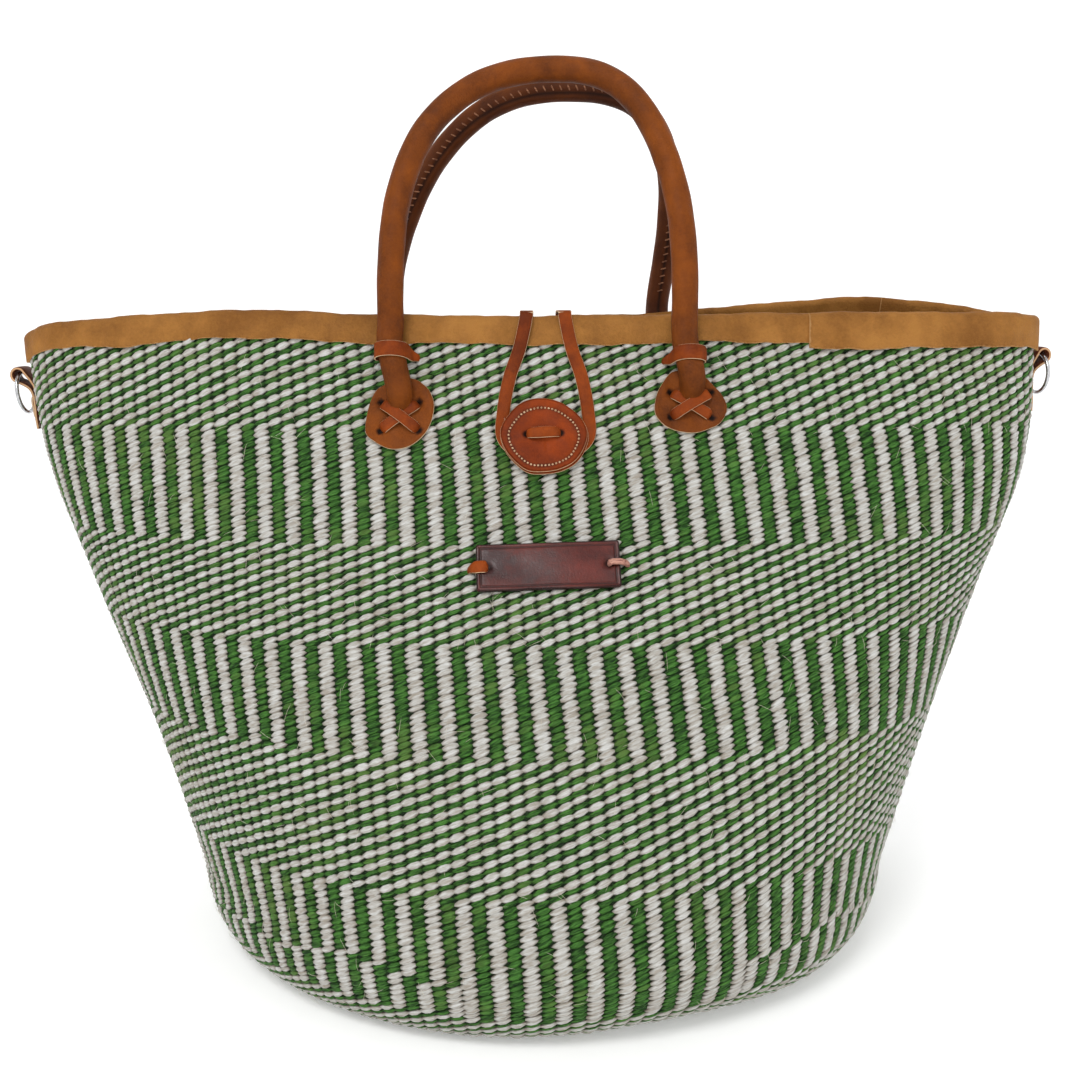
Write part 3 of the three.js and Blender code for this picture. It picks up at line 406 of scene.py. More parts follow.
@dataclass
class Form:
    """A mesh in the making: points, faces of four and of three corners, and values at its points."""

    points: Array
    quads: Array
    tris: Array
    values: dict[str, Array] = field(default_factory=dict)
    lie: Array | None = None

    def facing_out(self) -> "Form":
        """The same form, with every face turned when its volume, summed over its faces, is negative.

        Returns:
            The form itself.
        """
        corners = np.concatenate([self.quads[:, [0, 1, 2]], self.quads[:, [0, 2, 3]], self.tris])
        a, b, c = (self.points[corners[:, k]] for k in range(3))
        if np.einsum("ij,ij->i", a, np.cross(b, c)).sum() < 0:
            self.quads, self.tris = self.quads[:, ::-1], self.tris[:, ::-1]
        return self

    def set(self, name: str, values: Array | float) -> "Form":
        """Gives each point a value by name."""
        self.values[name] = np.broadcast_to(np.asarray(values, float), (len(self.points),)).copy()
        return self

    def mesh(self, name: str) -> bpy.types.Mesh:
        """The Blender mesh in metres, with its values as attributes and its lie as a UV map.

        Args:
            name: The mesh's name.

        Returns:
            The mesh.
        """
        made = bpy.data.meshes.new(name)
        made.vertices.add(len(self.points))
        made.vertices.foreach_set("co", (self.points * MM).astype(np.float32).ravel())
        corners = np.concatenate([self.quads.ravel(), self.tris.ravel()]).astype(np.int32)
        totals = np.concatenate([np.full(len(self.quads), 4), np.full(len(self.tris), 3)])
        starts = np.concatenate([[0], np.cumsum(totals)[:-1]]).astype(np.int32)
        made.loops.add(len(corners))
        made.loops.foreach_set("vertex_index", corners)
        made.polygons.add(len(totals))
        made.polygons.foreach_set("loop_start", starts)
        made.polygons.foreach_set("use_smooth", np.ones(len(totals), bool))
        made.update(calc_edges=True)
        for key, held in self.values.items():
            layer = made.attributes.new(key, "FLOAT", "POINT")
            layer.data.foreach_set("value", held.astype(np.float32))
        if self.lie is not None:
            layer = made.uv_layers.new(name="lie")
            layer.data.foreach_set("uv", self.lie[corners].astype(np.float32).ravel())
        return made


def joined(forms: Sequence[Form]) -> Form:
    """Several forms as one, with the values that all of them have.

    Args:
        forms: The forms.

    Returns:
        The one form. It has a lie when all of them have.
    """
    counts = np.cumsum([0] + [len(form.points) for form in forms])
    keys = set.intersection(*(set(form.values) for form in forms))
    lies = [form.lie for form in forms]
    return Form(
        np.concatenate([form.points for form in forms]),
        np.concatenate([form.quads.reshape(-1, 4) + n for form, n in zip(forms, counts)]),
        np.concatenate([form.tris.reshape(-1, 3) + n for form, n in zip(forms, counts)]),
        {key: np.concatenate([form.values[key] for form in forms]) for key in keys},
        None if any(lie is None for lie in lies) else np.concatenate(lies),
    )


def skin(rings: Array, closed: bool = False) -> Form:
    """Quads between rings of equal counts, and a fan round each end's middle unless the rings close.

    Args:
        rings: Points as rings by corners by three.
        closed: Whether the last ring joins the first.

    Returns:
        The closed form, with the two end middles as its last points when it is open.
    """
    count, sides = rings.shape[:2]
    grid = np.arange(count * sides).reshape(count, sides)
    after = np.roll(grid, -1, axis=0) if closed else grid[1:]
    here = grid if closed else grid[:-1]
    quads = np.stack([here, after, np.roll(after, -1, 1), np.roll(here, -1, 1)], -1).reshape(-1, 4)
    points = rings.reshape(-1, 3)
    if closed:
        return Form(points, quads, np.zeros((0, 3), int)).facing_out()
    ends = np.stack([rings[0].mean(0), rings[-1].mean(0)])
    first, last = grid[0], grid[-1]
    low = np.stack([np.full(sides, count * sides), first, np.roll(first, -1)], -1)
    high = np.stack([np.full(sides, count * sides + 1), np.roll(last, -1), last], -1)
    return Form(np.concatenate([points, ends]), quads, np.concatenate([low, high])).facing_out()


def smooth_line(stops: Sequence | Array, spacing: float, closed: bool = False) -> Array:
    """A centripetal Catmull-Rom curve through stops, resampled at even steps.

    Args:
        stops: Rows of x, y, z and any further values that run along with them.
        spacing: The wanted step between samples.
        closed: Whether the curve returns to its first stop.

    Returns:
        Rows like those of stops, evenly spaced along the curve.
    """
    stops = np.asarray(stops, float)
    if closed:
        held = np.concatenate([stops[-1:], stops, stops[:2]])
    else:
        held = np.concatenate([[2 * stops[0] - stops[1]], stops, [2 * stops[-1] - stops[-2]]])
    knots = np.maximum(np.linalg.norm(np.diff(held[:, :3], axis=0), axis=1), 1e-6) ** 0.5
    before, span, after = knots[:-2, None], knots[1:-1, None], knots[2:, None]
    p0, p1, p2, p3 = held[:-3], held[1:-2], held[2:-1], held[3:]
    leave = ((p1 - p0) / before - (p2 - p0) / (before + span) + (p2 - p1) / span) * span
    arrive = ((p2 - p1) / span - (p3 - p1) / (span + after) + (p3 - p2) / after) * span
    t = np.linspace(0, 1, 24, endpoint=False)[None, :, None]
    rise = t * t * (3 - 2 * t)
    rows = (
        p1[:, None] * (1 - rise)
        + p2[:, None] * rise
        + leave[:, None] * t * (1 - t) ** 2
        + arrive[:, None] * t * t * (t - 1)
    ).reshape(-1, stops.shape[1])
    rows = np.concatenate([rows, stops[:1] if closed else stops[-1:]])
    length = np.concatenate([[0], np.cumsum(np.linalg.norm(np.diff(rows[:, :3], axis=0), axis=1))])
    steps = max(int(round(length[-1] / spacing)), 4)
    places = np.linspace(0, length[-1], steps + 1)
    even = np.stack([np.interp(places, length, column) for column in rows.T], -1)
    return even[:-1] if closed else even


def tangents(path: Array, closed: bool = False) -> Array:
    """Unit directions along a path, from each point's two neighbours."""
    return unit(np.roll(path, -1, 0) - np.roll(path, 1, 0) if closed else np.gradient(path, axis=0))


STRAP_SECTION = np.array(
    [(-1, -0.35), (-1, 0.35), (-0.94, 0.8), (-0.6, 1), (0, 1.08), (0.6, 1), (0.94, 0.8)]
    + [(1, 0.35), (1, -0.35), (0.94, -0.8), (0.6, -1), (0, -1), (-0.6, -1), (-0.94, -0.8)]
)


def strap(stops: Sequence, thick: float, spacing: float = 1.0, closed: bool = False, curl: float = 0.0) -> Form:
    """A flat leather strip along a path, with rounded edges whose raw sides carry the value "raw".

    Args:
        stops: Rows of place, direction across and width: x, y, z, ax, ay, az, width.
        thick: The leather's thickness.
        spacing: Step along the strip.
        closed: Whether the strip closes on itself.
        curl: How far the strip's two sides rise over its middle.

    Returns:
        The strip's form.
    """
    rows = smooth_line(stops, spacing, closed)
    path, width = rows[:, :3], rows[:, 6]
    along = tangents(path, closed)
    across = unit(rows[:, 3:6] - along * (rows[:, 3:6] * along).sum(-1, keepdims=True))
    up = np.cross(along, across)
    s, t = STRAP_SECTION[:, 0], STRAP_SECTION[:, 1]
    rise = t * thick / 2 + curl * s * s
    rings = (
        path[:, None]
        + across[:, None] * (s * width[:, None] / 2)[..., None]
        + up[:, None] * rise[None, :, None]
    )
    form = skin(rings, closed)
    raw = np.tile((np.abs(s) > 0.97).astype(float), len(path))
    return form.set("raw", np.concatenate([raw, np.ones(len(form.points) - len(raw))]))


def stop(point: Array, across: Array, width: float) -> list[float]:
    """One row for strap: a place, the direction across the strip there and its width."""
    return [*map(float, point), *map(float, across), float(width)]


def tube(path: Array, radius: Array, sides: int, start_across: Array, relief: Callable | None = None) -> Form:
    """A round skin along a path, by carrying one direction along it without twist.

    Args:
        path: The middle line.
        radius: Its radius at each place.
        sides: Corners of each ring.
        start_across: A direction that gives angle 0 of the first ring.
        relief: Takes place shares and angles and gives added radius.

    Returns:
        The form with the value "turned", the angle round the tube in turns.
    """
    along = tangents(path)
    across = np.zeros_like(path)
    held = np.asarray(start_across, float)
    for i, way in enumerate(along):
        held = held - way * held.dot(way)
        held = held / np.linalg.norm(held)
        across[i] = held
    up = np.cross(along, across)
    angle = np.arange(sides) / sides * TURN
    share = np.linspace(0, 1, len(path))
    reach = np.broadcast_to(np.asarray(radius, float)[:, None], (len(path), sides)).copy()
    if relief is not None:
        reach = reach + relief(share[:, None], angle[None, :])
    rings = (
        path[:, None]
        + across[:, None] * (reach * np.cos(angle))[..., None]
        + up[:, None] * (reach * np.sin(angle))[..., None]
    )
    return skin(rings).set("turned", np.concatenate([np.tile(angle / TURN, len(path)), [0, 0]]))


def smooth_outline(shares: Sequence[tuple[float, float]], count: int) -> Array:
    """A closed smooth outline of an even number of points through a few shares.

    Args:
        shares: Places that the outline passes.
        count: Points wanted.

    Returns:
        The points.
    """
    rows = np.column_stack([np.asarray(shares, float), np.zeros(len(shares))])
    fine = smooth_line(rows, 0.02, closed=True)
    picks = np.linspace(0, len(fine), count, endpoint=False).astype(int)
    return fine[picks, :2]


def plate(
    place: Callable[[Array, Array, Array], Array],
    outline: Array,
    low: float,
    thick: float,
    relief: Callable[[Array, Array], Array] | None = None,
    round_off: float = 0.6,
    steps: int = 10,
) -> Form:
    """A leather plate: rings of its outline, drawn in towards the middle on top, round its edge and below.

    Args:
        place: Maps u, v, h to points.
        outline: Rows of u, v round the plate.
        low: Height of its underside.
        thick: Its thickness.
        relief: Height added to the top at u, v, such as dimples or a crown.
        round_off: Radius of its upper edge.
        steps: Rings between the middle and the edge.

    Returns:
        The form with the values "raw" on its cut edge and "inset", the distance in from the outline.
    """
    half = np.abs(outline).max(0)
    kept = 0.4 * half.min()
    middle_rings = [(half.min() * (1 - k / steps), 0.0, 0.0) for k in range(1, steps)]
    turns = np.linspace(0, math.pi / 2, 5)
    edge_rings = [(round_off * (1 - math.sin(a)), round_off * (1 - math.cos(a)), float(a > 0.9)) for a in turns]
    rows = [(d, thick - drop, raw, 1.0) for d, drop, raw in middle_rings + edge_rings]
    rows += [(0.05, thick * 0.45, 1, 0), (0.25, 0.25, 1, 0), (0.9, 0, 0, 0), (half.min() * 0.5, 0, 0, 0)]
    rings, raws, insets = [], [], []
    for inset, height, raw, on_top in rows:
        scale = (1 - min(inset, kept) / half) * (1 - max(inset - kept, 0) / (half.min() - kept))
        uv = outline * scale
        lift = relief(uv[:, 0], uv[:, 1]) * on_top * min(1.0, inset / 1.5 + 0.3) if relief else 0.0
        rings.append(place(uv[:, 0], uv[:, 1], low + height + lift))
        raws.append(np.full(len(outline), raw))
        insets.append(np.full(len(outline), inset if on_top else 0.0))
    form = skin(np.stack(rings))
    middle = relief(np.zeros(1), np.zeros(1))[0] if relief else 0.0
    form.points[-2] = place(0.0, 0.0, low + thick + middle)
    form.points[-1] = place(0.0, 0.0, low)
    form.set("raw", np.concatenate([*raws, [0, 0]]))
    form.set("inset", np.concatenate([*insets, [half.min(), 0]]))
    return form.facing_out()


def beads(centres: Array, along: Array, out: Array, length: float, width: float, height: float) -> Form:
    """Small closed lenses, such as stitches of thread: two squarish rings between two points each.

    Args:
        centres: Their middles.
        along: Their long directions.
        out: The directions they stand out in.
        length: Full length.
        width: Full width.
        height: Full height.

    Returns:
        All of them as one form of separate closed shapes.
    """
    along, out = unit(along), unit(out)
    across = np.cross(along, out)
    ts = np.array([-0.5, -0.32, 0.32, 0.5])
    swell = np.array([0.0, 1.0, 1.0, 0.0])
    angle = (np.arange(6) + 0.5) / 6 * TURN
    ring = (
        centres[:, None, None]
        + along[:, None, None] * (ts[:, None, None] * length)
        + across[:, None, None] * (swell[:, None] * np.cos(angle) * width / 2)[..., None]
        + out[:, None, None] * (swell[:, None] * np.sin(angle) * height / 2)[..., None]
    )
    return repeated(ring[:, 1:3], ring[:, 0, 0], ring[:, 3, 0])


def repeated(rings: Array, first: Array, last: Array) -> Form:
    """Many like closed shapes, each of some rings between two tips.

    Args:
        rings: Points by shape, ring, corner and axis.
        first: Each shape's first tip.
        last: Each shape's last tip.

    Returns:
        One form. Its points run shape by shape: rings, then the two tips.
    """
    count, tall, sides = rings.shape[:3]
    size = tall * sides + 2
    points = np.concatenate([rings.reshape(count, -1, 3), first[:, None], last[:, None]], 1).reshape(-1, 3)
    grid = np.arange(tall * sides).reshape(tall, sides)
    turned = np.roll(grid, -1, 1)
    quads = np.stack([grid[:-1], turned[:-1], turned[1:], grid[1:]], -1).reshape(-1, 4)
    low = np.stack([np.full(sides, size - 2), turned[0], grid[0]], -1)
    high = np.stack([np.full(sides, size - 1), grid[-1], turned[-1]], -1)
    starts = (np.arange(count) * size)[:, None, None]
    form = Form(
        points,
        (quads[None] + starts).reshape(-1, 4),
        (np.concatenate([low, high])[None] + starts).reshape(-1, 3),
    )
    return form.facing_out()


# Finishes


class Bench:
    """Places and links shader nodes in one tree."""

    def __init__(self, tree: bpy.types.NodeTree) -> None:
        """Takes the tree to work in."""
        self.tree = tree

    def feed(self, node: bpy.types.Node, inputs: dict) -> None:
        """Sets or links a node's inputs.

        Args:
            node: The node.
            inputs: Values or sockets by input name or index.
        """
        for key, value in inputs.items():
            if isinstance(value, Socket):
                self.tree.links.new(value, node.inputs[key])
            else:
                node.inputs[key].default_value = value

    def node(self, kind: str, settings: dict | None = None, inputs: dict | None = None) -> bpy.types.Node:
        """Adds a node, sets its properties, and sets or links its inputs.

        Args:
            kind: The node's type, without ShaderNode in front.
            settings: Properties by name.
            inputs: Values or sockets by input name or index.

        Returns:
            The node.
        """
        made = self.tree.nodes.new("ShaderNode" + kind)
        for key, value in (settings or {}).items():
            setattr(made, key, value)
        self.feed(made, inputs or {})
        return made

    def value(self, name: str) -> Socket:
        """A piece's own value by name."""
        return self.node("Attribute", {"attribute_name": name}).outputs["Fac"]

    def place(self) -> Socket:
        """Where on the piece, in its object coordinates."""
        return self.node("TexCoord").outputs["Object"]

    def math(self, kind: str, a: object, b: object = 0.0, c: object = 0.0) -> Socket:
        """One or two steps of arithmetic on two or three numbers, by the kind's name."""
        return self.node("Math", {"operation": kind}, {0: a, 1: b, 2: c}).outputs[0]

    def mix(self, share: object, a: object, b: object) -> Socket:
        """A colour that goes from a to b as the share goes from 0 to 1."""
        return self.node("Mix", {"data_type": "RGBA"}, {0: share, 6: a, 7: b}).outputs[2]

    def spread(self, value: object, low: float, high: float, to_low: float = 0, to_high: float = 1) -> Socket:
        """A value carried straight from one range to another and held within it."""
        return self.node("MapRange", {}, {0: value, 1: low, 2: high, 3: to_low, 4: to_high}).outputs[0]

    def noise(self, vector: object, scale: float, detail: float = 2.0, rough: float = 0.5) -> Socket:
        """Noise on a vector, finer with scale and detail."""
        fed = {"Vector": vector, "Scale": scale, "Detail": detail, "Roughness": rough}
        return self.node("TexNoise", {}, fed).outputs[0]

    def stretched(self, vector: object, scale: Point) -> Socket:
        """A vector scaled by axis."""
        return self.node("Mapping", {}, {"Vector": vector, "Scale": scale}).outputs[0]

    def group(self, tree: bpy.types.NodeTree, inputs: dict) -> bpy.types.NodeOutputs:
        """Places a shared group with its own values, and gives its outputs."""
        return self.node("Group", {"node_tree": tree}, inputs).outputs


class GroupBench(Bench):
    """A shader group in the making: its tree, what it is given and what it puts out."""

    def __init__(self, name: str, inputs: dict[str, float | None], outputs: Sequence[str]) -> None:
        """Starts the tree with its sockets.

        Args:
            name: The group's name.
            inputs: The default of each number by name, and None for a vector.
            outputs: The name of each value that it puts out.
        """
        super().__init__(bpy.data.node_groups.new(name, "ShaderNodeTree"))
        for label, held in inputs.items():
            kind = "NodeSocketVector" if held is None else "NodeSocketFloat"
            made = self.tree.interface.new_socket(name=label, in_out="INPUT", socket_type=kind)
            if held is not None:
                made.default_value = held
        for label in outputs:
            self.tree.interface.new_socket(name=label, in_out="OUTPUT", socket_type="NodeSocketFloat")
        self.given = self.tree.nodes.new("NodeGroupInput").outputs
        self.result = self.tree.nodes.new("NodeGroupOutput")

    def scaled(self) -> Socket:
        """The first input, a vector, times the second."""
        fed = {0: self.given[0], 3: self.given[1]}
        return self.node("VectorMath", {"operation": "SCALE"}, fed).outputs[0]

    def done(self, *values: Socket) -> bpy.types.NodeTree:
        """Feeds the outputs in their order, and gives the tree."""
        self.feed(self.result, dict(enumerate(values)))
        return self.tree


class MaterialBench(Bench):
    """A material in the making, with a bare Principled shader."""

    def __init__(self, name: str) -> None:
        """Starts the material.

        Args:
            name: The material's name.
        """
        self.material = bpy.data.materials.new(name)
        self.material.use_nodes = True
        super().__init__(self.material.node_tree)
        self.shader = self.tree.nodes["Principled BSDF"]

    def done(
        self, color: Socket, rough: Socket, height: Socket, bump: tuple[float, float], others: dict[str, float]
    ) -> bpy.types.Material:
        """Feeds the shader: a height's slope, times strength and depth, tips the normal.

        Args:
            color: The base colour.
            rough: The roughness.
            height: The height that makes the bump.
            bump: The bump's strength, and its depth in millimetres.
            others: Further inputs of the shader by name.

        Returns:
            The material.
        """
        raised = self.node("Bump", {}, {"Height": height, "Strength": bump[0], "Distance": bump[1] * MM})
        fed = {"Base Color": color, "Roughness": rough, "Normal": raised.outputs[0]}
        self.feed(self.shader, fed | others)
        return self.material


class Effects:
    """The shader groups that several finishes share."""

    def __init__(self) -> None:
        """Builds each group once."""
        self.grain = self._grain()
        self.fibres = self._fibres()
        self.wear = self._wear()

    @staticmethod
    def _grain() -> bpy.types.NodeTree:
        """Leather grain: small cells and creases, with broad soft patches of tone.

        Returns:
            The group, which gives a height, a tone and a sheen of 0 to 1.
        """
        bench = GroupBench("leather_grain", {"Vector": None, "Scale": 1.0}, ["Height", "Tone", "Sheen"])
        vector = bench.scaled()
        cells = bench.node("TexVoronoi", {}, {"Vector": vector, "Scale": 1300.0})
        fine = bench.noise(vector, 900.0, 3.0, 0.6)
        folds = bench.noise(vector, 160.0, 4.0, 0.62)
        broad = bench.noise(vector, 38.0, 3.0, 0.6)
        pores = bench.spread(cells.outputs["Distance"], 0.0, 0.7)
        height = bench.math("MULTIPLY_ADD", pores, 0.35, bench.math("MULTIPLY_ADD", fine, 0.3, folds))
        tone = bench.math("MULTIPLY_ADD", fine, 0.25, bench.math("MULTIPLY_ADD", folds, 0.35, broad))
        return bench.done(height, bench.spread(tone, 0.62, 0.98), bench.spread(folds, 0.3, 0.7))

    @staticmethod
    def _fibres() -> bpy.types.NodeTree:
        """Plant fibre: streaks along the lie of a strand, at two widths.

        Returns:
            The group, which gives a height and a tone.
        """
        bench = GroupBench("fibre_streaks", {"Lie": None, "Fineness": 1.0}, ["Height", "Tone"])
        lie = bench.scaled()
        fine = bench.noise(bench.stretched(lie, (0.25, 3.2, 1.0)), 1.0, 3.0, 0.6)
        broad = bench.noise(bench.stretched(lie, (0.15, 1.1, 1.0)), 1.0, 2.0, 0.5)
        both = bench.math("MULTIPLY_ADD", fine, 0.5, bench.math("MULTIPLY", broad, 0.6))
        return bench.done(both, bench.spread(both, 0.46, 0.66))

    @staticmethod
    def _wear() -> bpy.types.NodeTree:
        """A mask for a cut or rubbed edge: an edge value broken up by noise.

        Returns:
            The group, which gives the mask.
        """
        bench = GroupBench("edge_wear", {"Vector": None, "Edge": 0.0, "Raggedness": 0.5}, ["Mask"])
        noise = bench.math("SUBTRACT", bench.noise(bench.given[0], 700.0, 3.0, 0.7), 0.5)
        edge = bench.math("ADD", bench.given[1], bench.math("MULTIPLY", noise, bench.given[2]))
        return bench.done(bench.spread(edge, 0.35, 0.62))


@dataclass(frozen=True)
class LeatherFinish:
    """A vegetable-tanned leather: its tones, its raw cut edge, its gloss and how deep its grain is."""

    name: str
    light: Tone
    dark: Tone
    edge: Tone
    roughness: float = 0.55
    grain_mm: float = 0.12
    grain_scale: float = 1.0
    raggedness: float = 0.5
    specular: float = 0.4
    coat: float = 0.0
    sheen: float = 0.32
    # Colour of burnished edges and lines, also used as painted shade on the handles' inner sides
    burnt: Tone = (30, 12, 10)
    # Near-black painted shade in lace and tie holes, also the colour of the handles' dark seam
    pit: Tone = (16, 8, 6)

    def material(self, effects: Effects) -> bpy.types.Material:
        """Builds the material: the grain's tone, then the raw edge, burnish and painted shade, and near-black
        painted shade in holes and dark seams over it.

        Args:
            effects: The shared groups.

        Returns:
            The material.
        """
        bench = MaterialBench(self.name)
        place = bench.place()
        grain = bench.group(effects.grain, {"Vector": place, "Scale": self.grain_scale})
        edge = {"Vector": place, "Edge": bench.value("raw"), "Raggedness": self.raggedness}
        wear = bench.group(effects.wear, edge)[0]
        color = bench.mix(grain["Tone"], srgb(*self.dark), srgb(*self.light))
        color = bench.mix(wear, color, srgb(*self.edge))
        # Burnish on the plate's edges and border, a dark line along the button's stitching, and painted shade
        # on the handles' inner sides
        color = bench.mix(bench.value("burnt"), color, srgb(*self.burnt))
        # Near-black: painted shade in the holes, and the handles' dark seam
        color = bench.mix(bench.value("pit"), color, srgb(*self.pit))
        rough = bench.spread(grain["Sheen"], 0, 1, self.roughness - 0.1, self.roughness + 0.12)
        rough = bench.math("MULTIPLY_ADD", wear, 0.3, rough)
        gloss = {"Specular IOR Level": self.specular, "Coat Weight": self.coat, "Coat Roughness": self.sheen}
        return bench.done(color, rough, grain["Height"], (0.8, self.grain_mm), gloss)


@dataclass(frozen=True)
class SisalFinish:
    """Twined sisal: natural and green strands with streaks along each stitch and shade between them."""

    name: str
    natural: Tone = (190, 190, 187)
    natural_shade: Tone = (142, 134, 122)
    # Painted shade of natural stitches where they are low: at their edges and tips
    natural_valley_shade: Tone = (100, 88, 72)
    green: Tone = (66, 114, 44)
    green_shade: Tone = (5, 27, 5)
    olive: Tone = (92, 112, 56)
    # Painted shade of green stitches where they are low, and of the whole core
    valley_shade: Tone = (9, 22, 6)
    specular: float = 0.16

    def material(self, effects: Effects) -> bpy.types.Material:
        """Builds the material: tone from fibres and stitch, olive patches, and shade where a stitch is low.

        Args:
            effects: The shared groups.

        Returns:
            The material.
        """
        bench = MaterialBench(self.name)
        lie = bench.node("UVMap", {"uv_map": "lie"}).outputs[0]
        fibres = bench.group(effects.fibres, {"Lie": lie, "Fineness": 1.0})
        own, dyed = bench.value("tone"), bench.value("dyed")
        tone = bench.math("MULTIPLY_ADD", fibres["Tone"], 0.75, bench.math("MULTIPLY", own, 0.4))
        natural = bench.mix(tone, srgb(*self.natural_shade), srgb(*self.natural))
        green = bench.mix(tone, srgb(*self.green_shade), srgb(*self.green))
        patch = bench.math("ADD", bench.noise(bench.place(), 26.0, 3.0, 0.6), bench.math("MULTIPLY", own, 0.3))
        green = bench.mix(bench.spread(patch, 0.68, 0.92, 0.0, 0.55), green, srgb(*self.olive))
        # Painted shade: as a stitch's crest value falls towards its edges and tips, its colour goes to the
        # valley colour of its dye
        valley_shade = bench.mix(dyed, srgb(*self.natural_valley_shade), srgb(*self.valley_shade))
        shade = bench.spread(bench.value("crest"), 0.1, 0.72, 0.92, 0.0)
        color = bench.mix(shade, bench.mix(dyed, natural, green), valley_shade)
        rough = bench.spread(fibres["Tone"], 0, 1, 0.75, 0.55)
        return bench.done(color, rough, fibres["Height"], (0.7, 0.35), {"Specular IOR Level": self.specular})


@dataclass(frozen=True)
class ThreadFinish:
    """Twisted thread, twine or rope, with streaks along its lie."""

    name: str
    light: Tone
    dark: Tone
    fineness: float = 1.0

    def material(self, effects: Effects) -> bpy.types.Material:
        """Builds the material: fibre streaks between two tones.

        Args:
            effects: The shared groups.

        Returns:
            The material.
        """
        bench = MaterialBench(self.name)
        lie = bench.stretched(bench.place(), (900.0, 900.0, 900.0))
        fibres = bench.group(effects.fibres, {"Lie": lie, "Fineness": self.fineness})
        color = bench.mix(fibres["Tone"], srgb(*self.dark), srgb(*self.light))
        rough = bench.spread(fibres["Tone"], 0, 1, 0.85, 0.65)
        return bench.done(color, rough, fibres["Height"], (0.6, 0.2), {})


@dataclass(frozen=True)
class SteelFinish:
    """Bright wire with fine scratches."""

    name: str
    light: Tone = (214, 214, 216)
    dark: Tone = (150, 150, 152)

    def material(self, _: Effects) -> bpy.types.Material:
        """Builds the material: stretched noise as scratches in its tone, roughness and bump.

        Args:
            _: The shared groups, which bright wire has no use for.

        Returns:
            The material.
        """
        bench = MaterialBench(self.name)
        scratches = bench.noise(bench.stretched(bench.place(), (3000.0, 500.0, 500.0)), 1.0, 4.0, 0.7)
        color = bench.mix(bench.spread(scratches, 0.3, 0.7), srgb(*self.dark), srgb(*self.light))
        rough = bench.spread(scratches, 0.2, 0.8, 0.16, 0.34)
        return bench.done(color, rough, scratches, (0.3, 0.03), {"Metallic": 1.0})


FINISHES = (
    SisalFinish("sisal"),
    LeatherFinish("binding_leather", (152, 104, 50), (116, 74, 31), (172, 130, 84), 0.64, 0.6, 0.8, 0.6, 0.1),
    LeatherFinish("handle_leather", (122, 62, 15), (86, 41, 8), (204, 176, 142), 0.58, 0.35, 1.0, 0.7, 0.11),
    LeatherFinish("tab_leather", (132, 52, 10), (88, 31, 5), (200, 168, 132), 0.56, 0.2, 1.0, 0.5, 0.11),
    LeatherFinish("lace_leather", (136, 60, 14), (90, 35, 6), (208, 180, 146), 0.58, 0.2, 1.2, 0.7, 0.11),
    LeatherFinish("plate_leather", (92, 30, 20), (46, 12, 10), (26, 9, 8), 0.38, 0.12, 1.0, 0.4, 0.26, 0.06),
    LeatherFinish("strap_leather", (100, 48, 20), (62, 26, 10), (190, 150, 112), 0.6, 0.16, 1.0, 0.6, 0.18),
    ThreadFinish("stitch_thread", (206, 176, 140), (150, 112, 76), 2.0),
    ThreadFinish("seam_thread", (150, 98, 62), (96, 54, 30), 2.0),
    ThreadFinish("twine", (190, 140, 122), (120, 72, 62), 1.4),
    ThreadFinish("rope", (180, 160, 120), (130, 108, 72), 0.8),
    ThreadFinish("loose_fibre", (214, 208, 192), (176, 166, 142)),
    SteelFinish("steel"),
)
# These finishes, each with the finish that it maps to; the rest map to themselves
SLOT_OF = {"stitch_thread": "tab_leather", "seam_thread": "handle_leather", "loose_fibre": "sisal"}


class Workshop:
    """Holds the finishes, and turns forms into dressed pieces on their bodies."""

    def __init__(self) -> None:
        """Builds every finish once."""
        effects = Effects()
        self.materials = {finish.name: finish.material(effects) for finish in FINISHES}

    def piece(self, form: Form, name: str, finish: str, *replaces: str) -> bpy.types.Object:
        """Makes an object of a form, with its finish, and hides the nodes it stands for.

        Args:
            form: The shape.
            name: The piece's name.
            finish: The finish by name.
            replaces: CAD nodes that the piece stands for.

        Returns:
            The object, which still has to ride on a body.
        """
        mesh = form.mesh(name)
        made = bpy.data.objects.new(name, mesh)
        bpy.context.scene.collection.objects.link(made)
        mesh.materials.append(self.materials[finish])
        SLOT_OF.get(finish, finish)
        if replaces:
            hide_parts(*replaces)
        LOG.info("%s: %d faces, %s", name, len(mesh.polygons), finish)
        return made

    def riding(self, form: Form, name: str, finish: str, body: str, *replaces: str) -> bpy.types.Object:
        """A dressed piece that rides on one body."""
        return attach(self.piece(form, name, finish, *replaces), body)


# The weave


@dataclass(frozen=True)
class Stitch:
    """One leaf-shaped stitch: rings along it and corners across it, as shares of its size."""

    rings: tuple[tuple[float, float, float], ...]
    section: Pairs
    overlap: float = 0.27
    half_width: float = 0.77
    crest: float = 0.55
    foot: float = -1.05
    lean: float = 0.86
    green_width: float = 0.86
    green_length: float = 0.94
    green_crest: float = 0.8


FULL_STITCH = Stitch(
    rings=((0.0, 0.46, 0.5), (0.32, 0.98, 0.97), (0.68, 1.0, 1.0), (1.0, 0.46, 0.52)),
    section=((-1, 0), (-0.62, 0.72), (0, 1), (0.62, 0.72), (1, 0)),
)
PLAIN_STITCH = Stitch(
    rings=((0.12, 0.8, 0.85), (0.88, 0.8, 0.85)),
    section=((-1, 0), (-0.45, 0.95), (0.45, 0.95), (1, 0)),
)


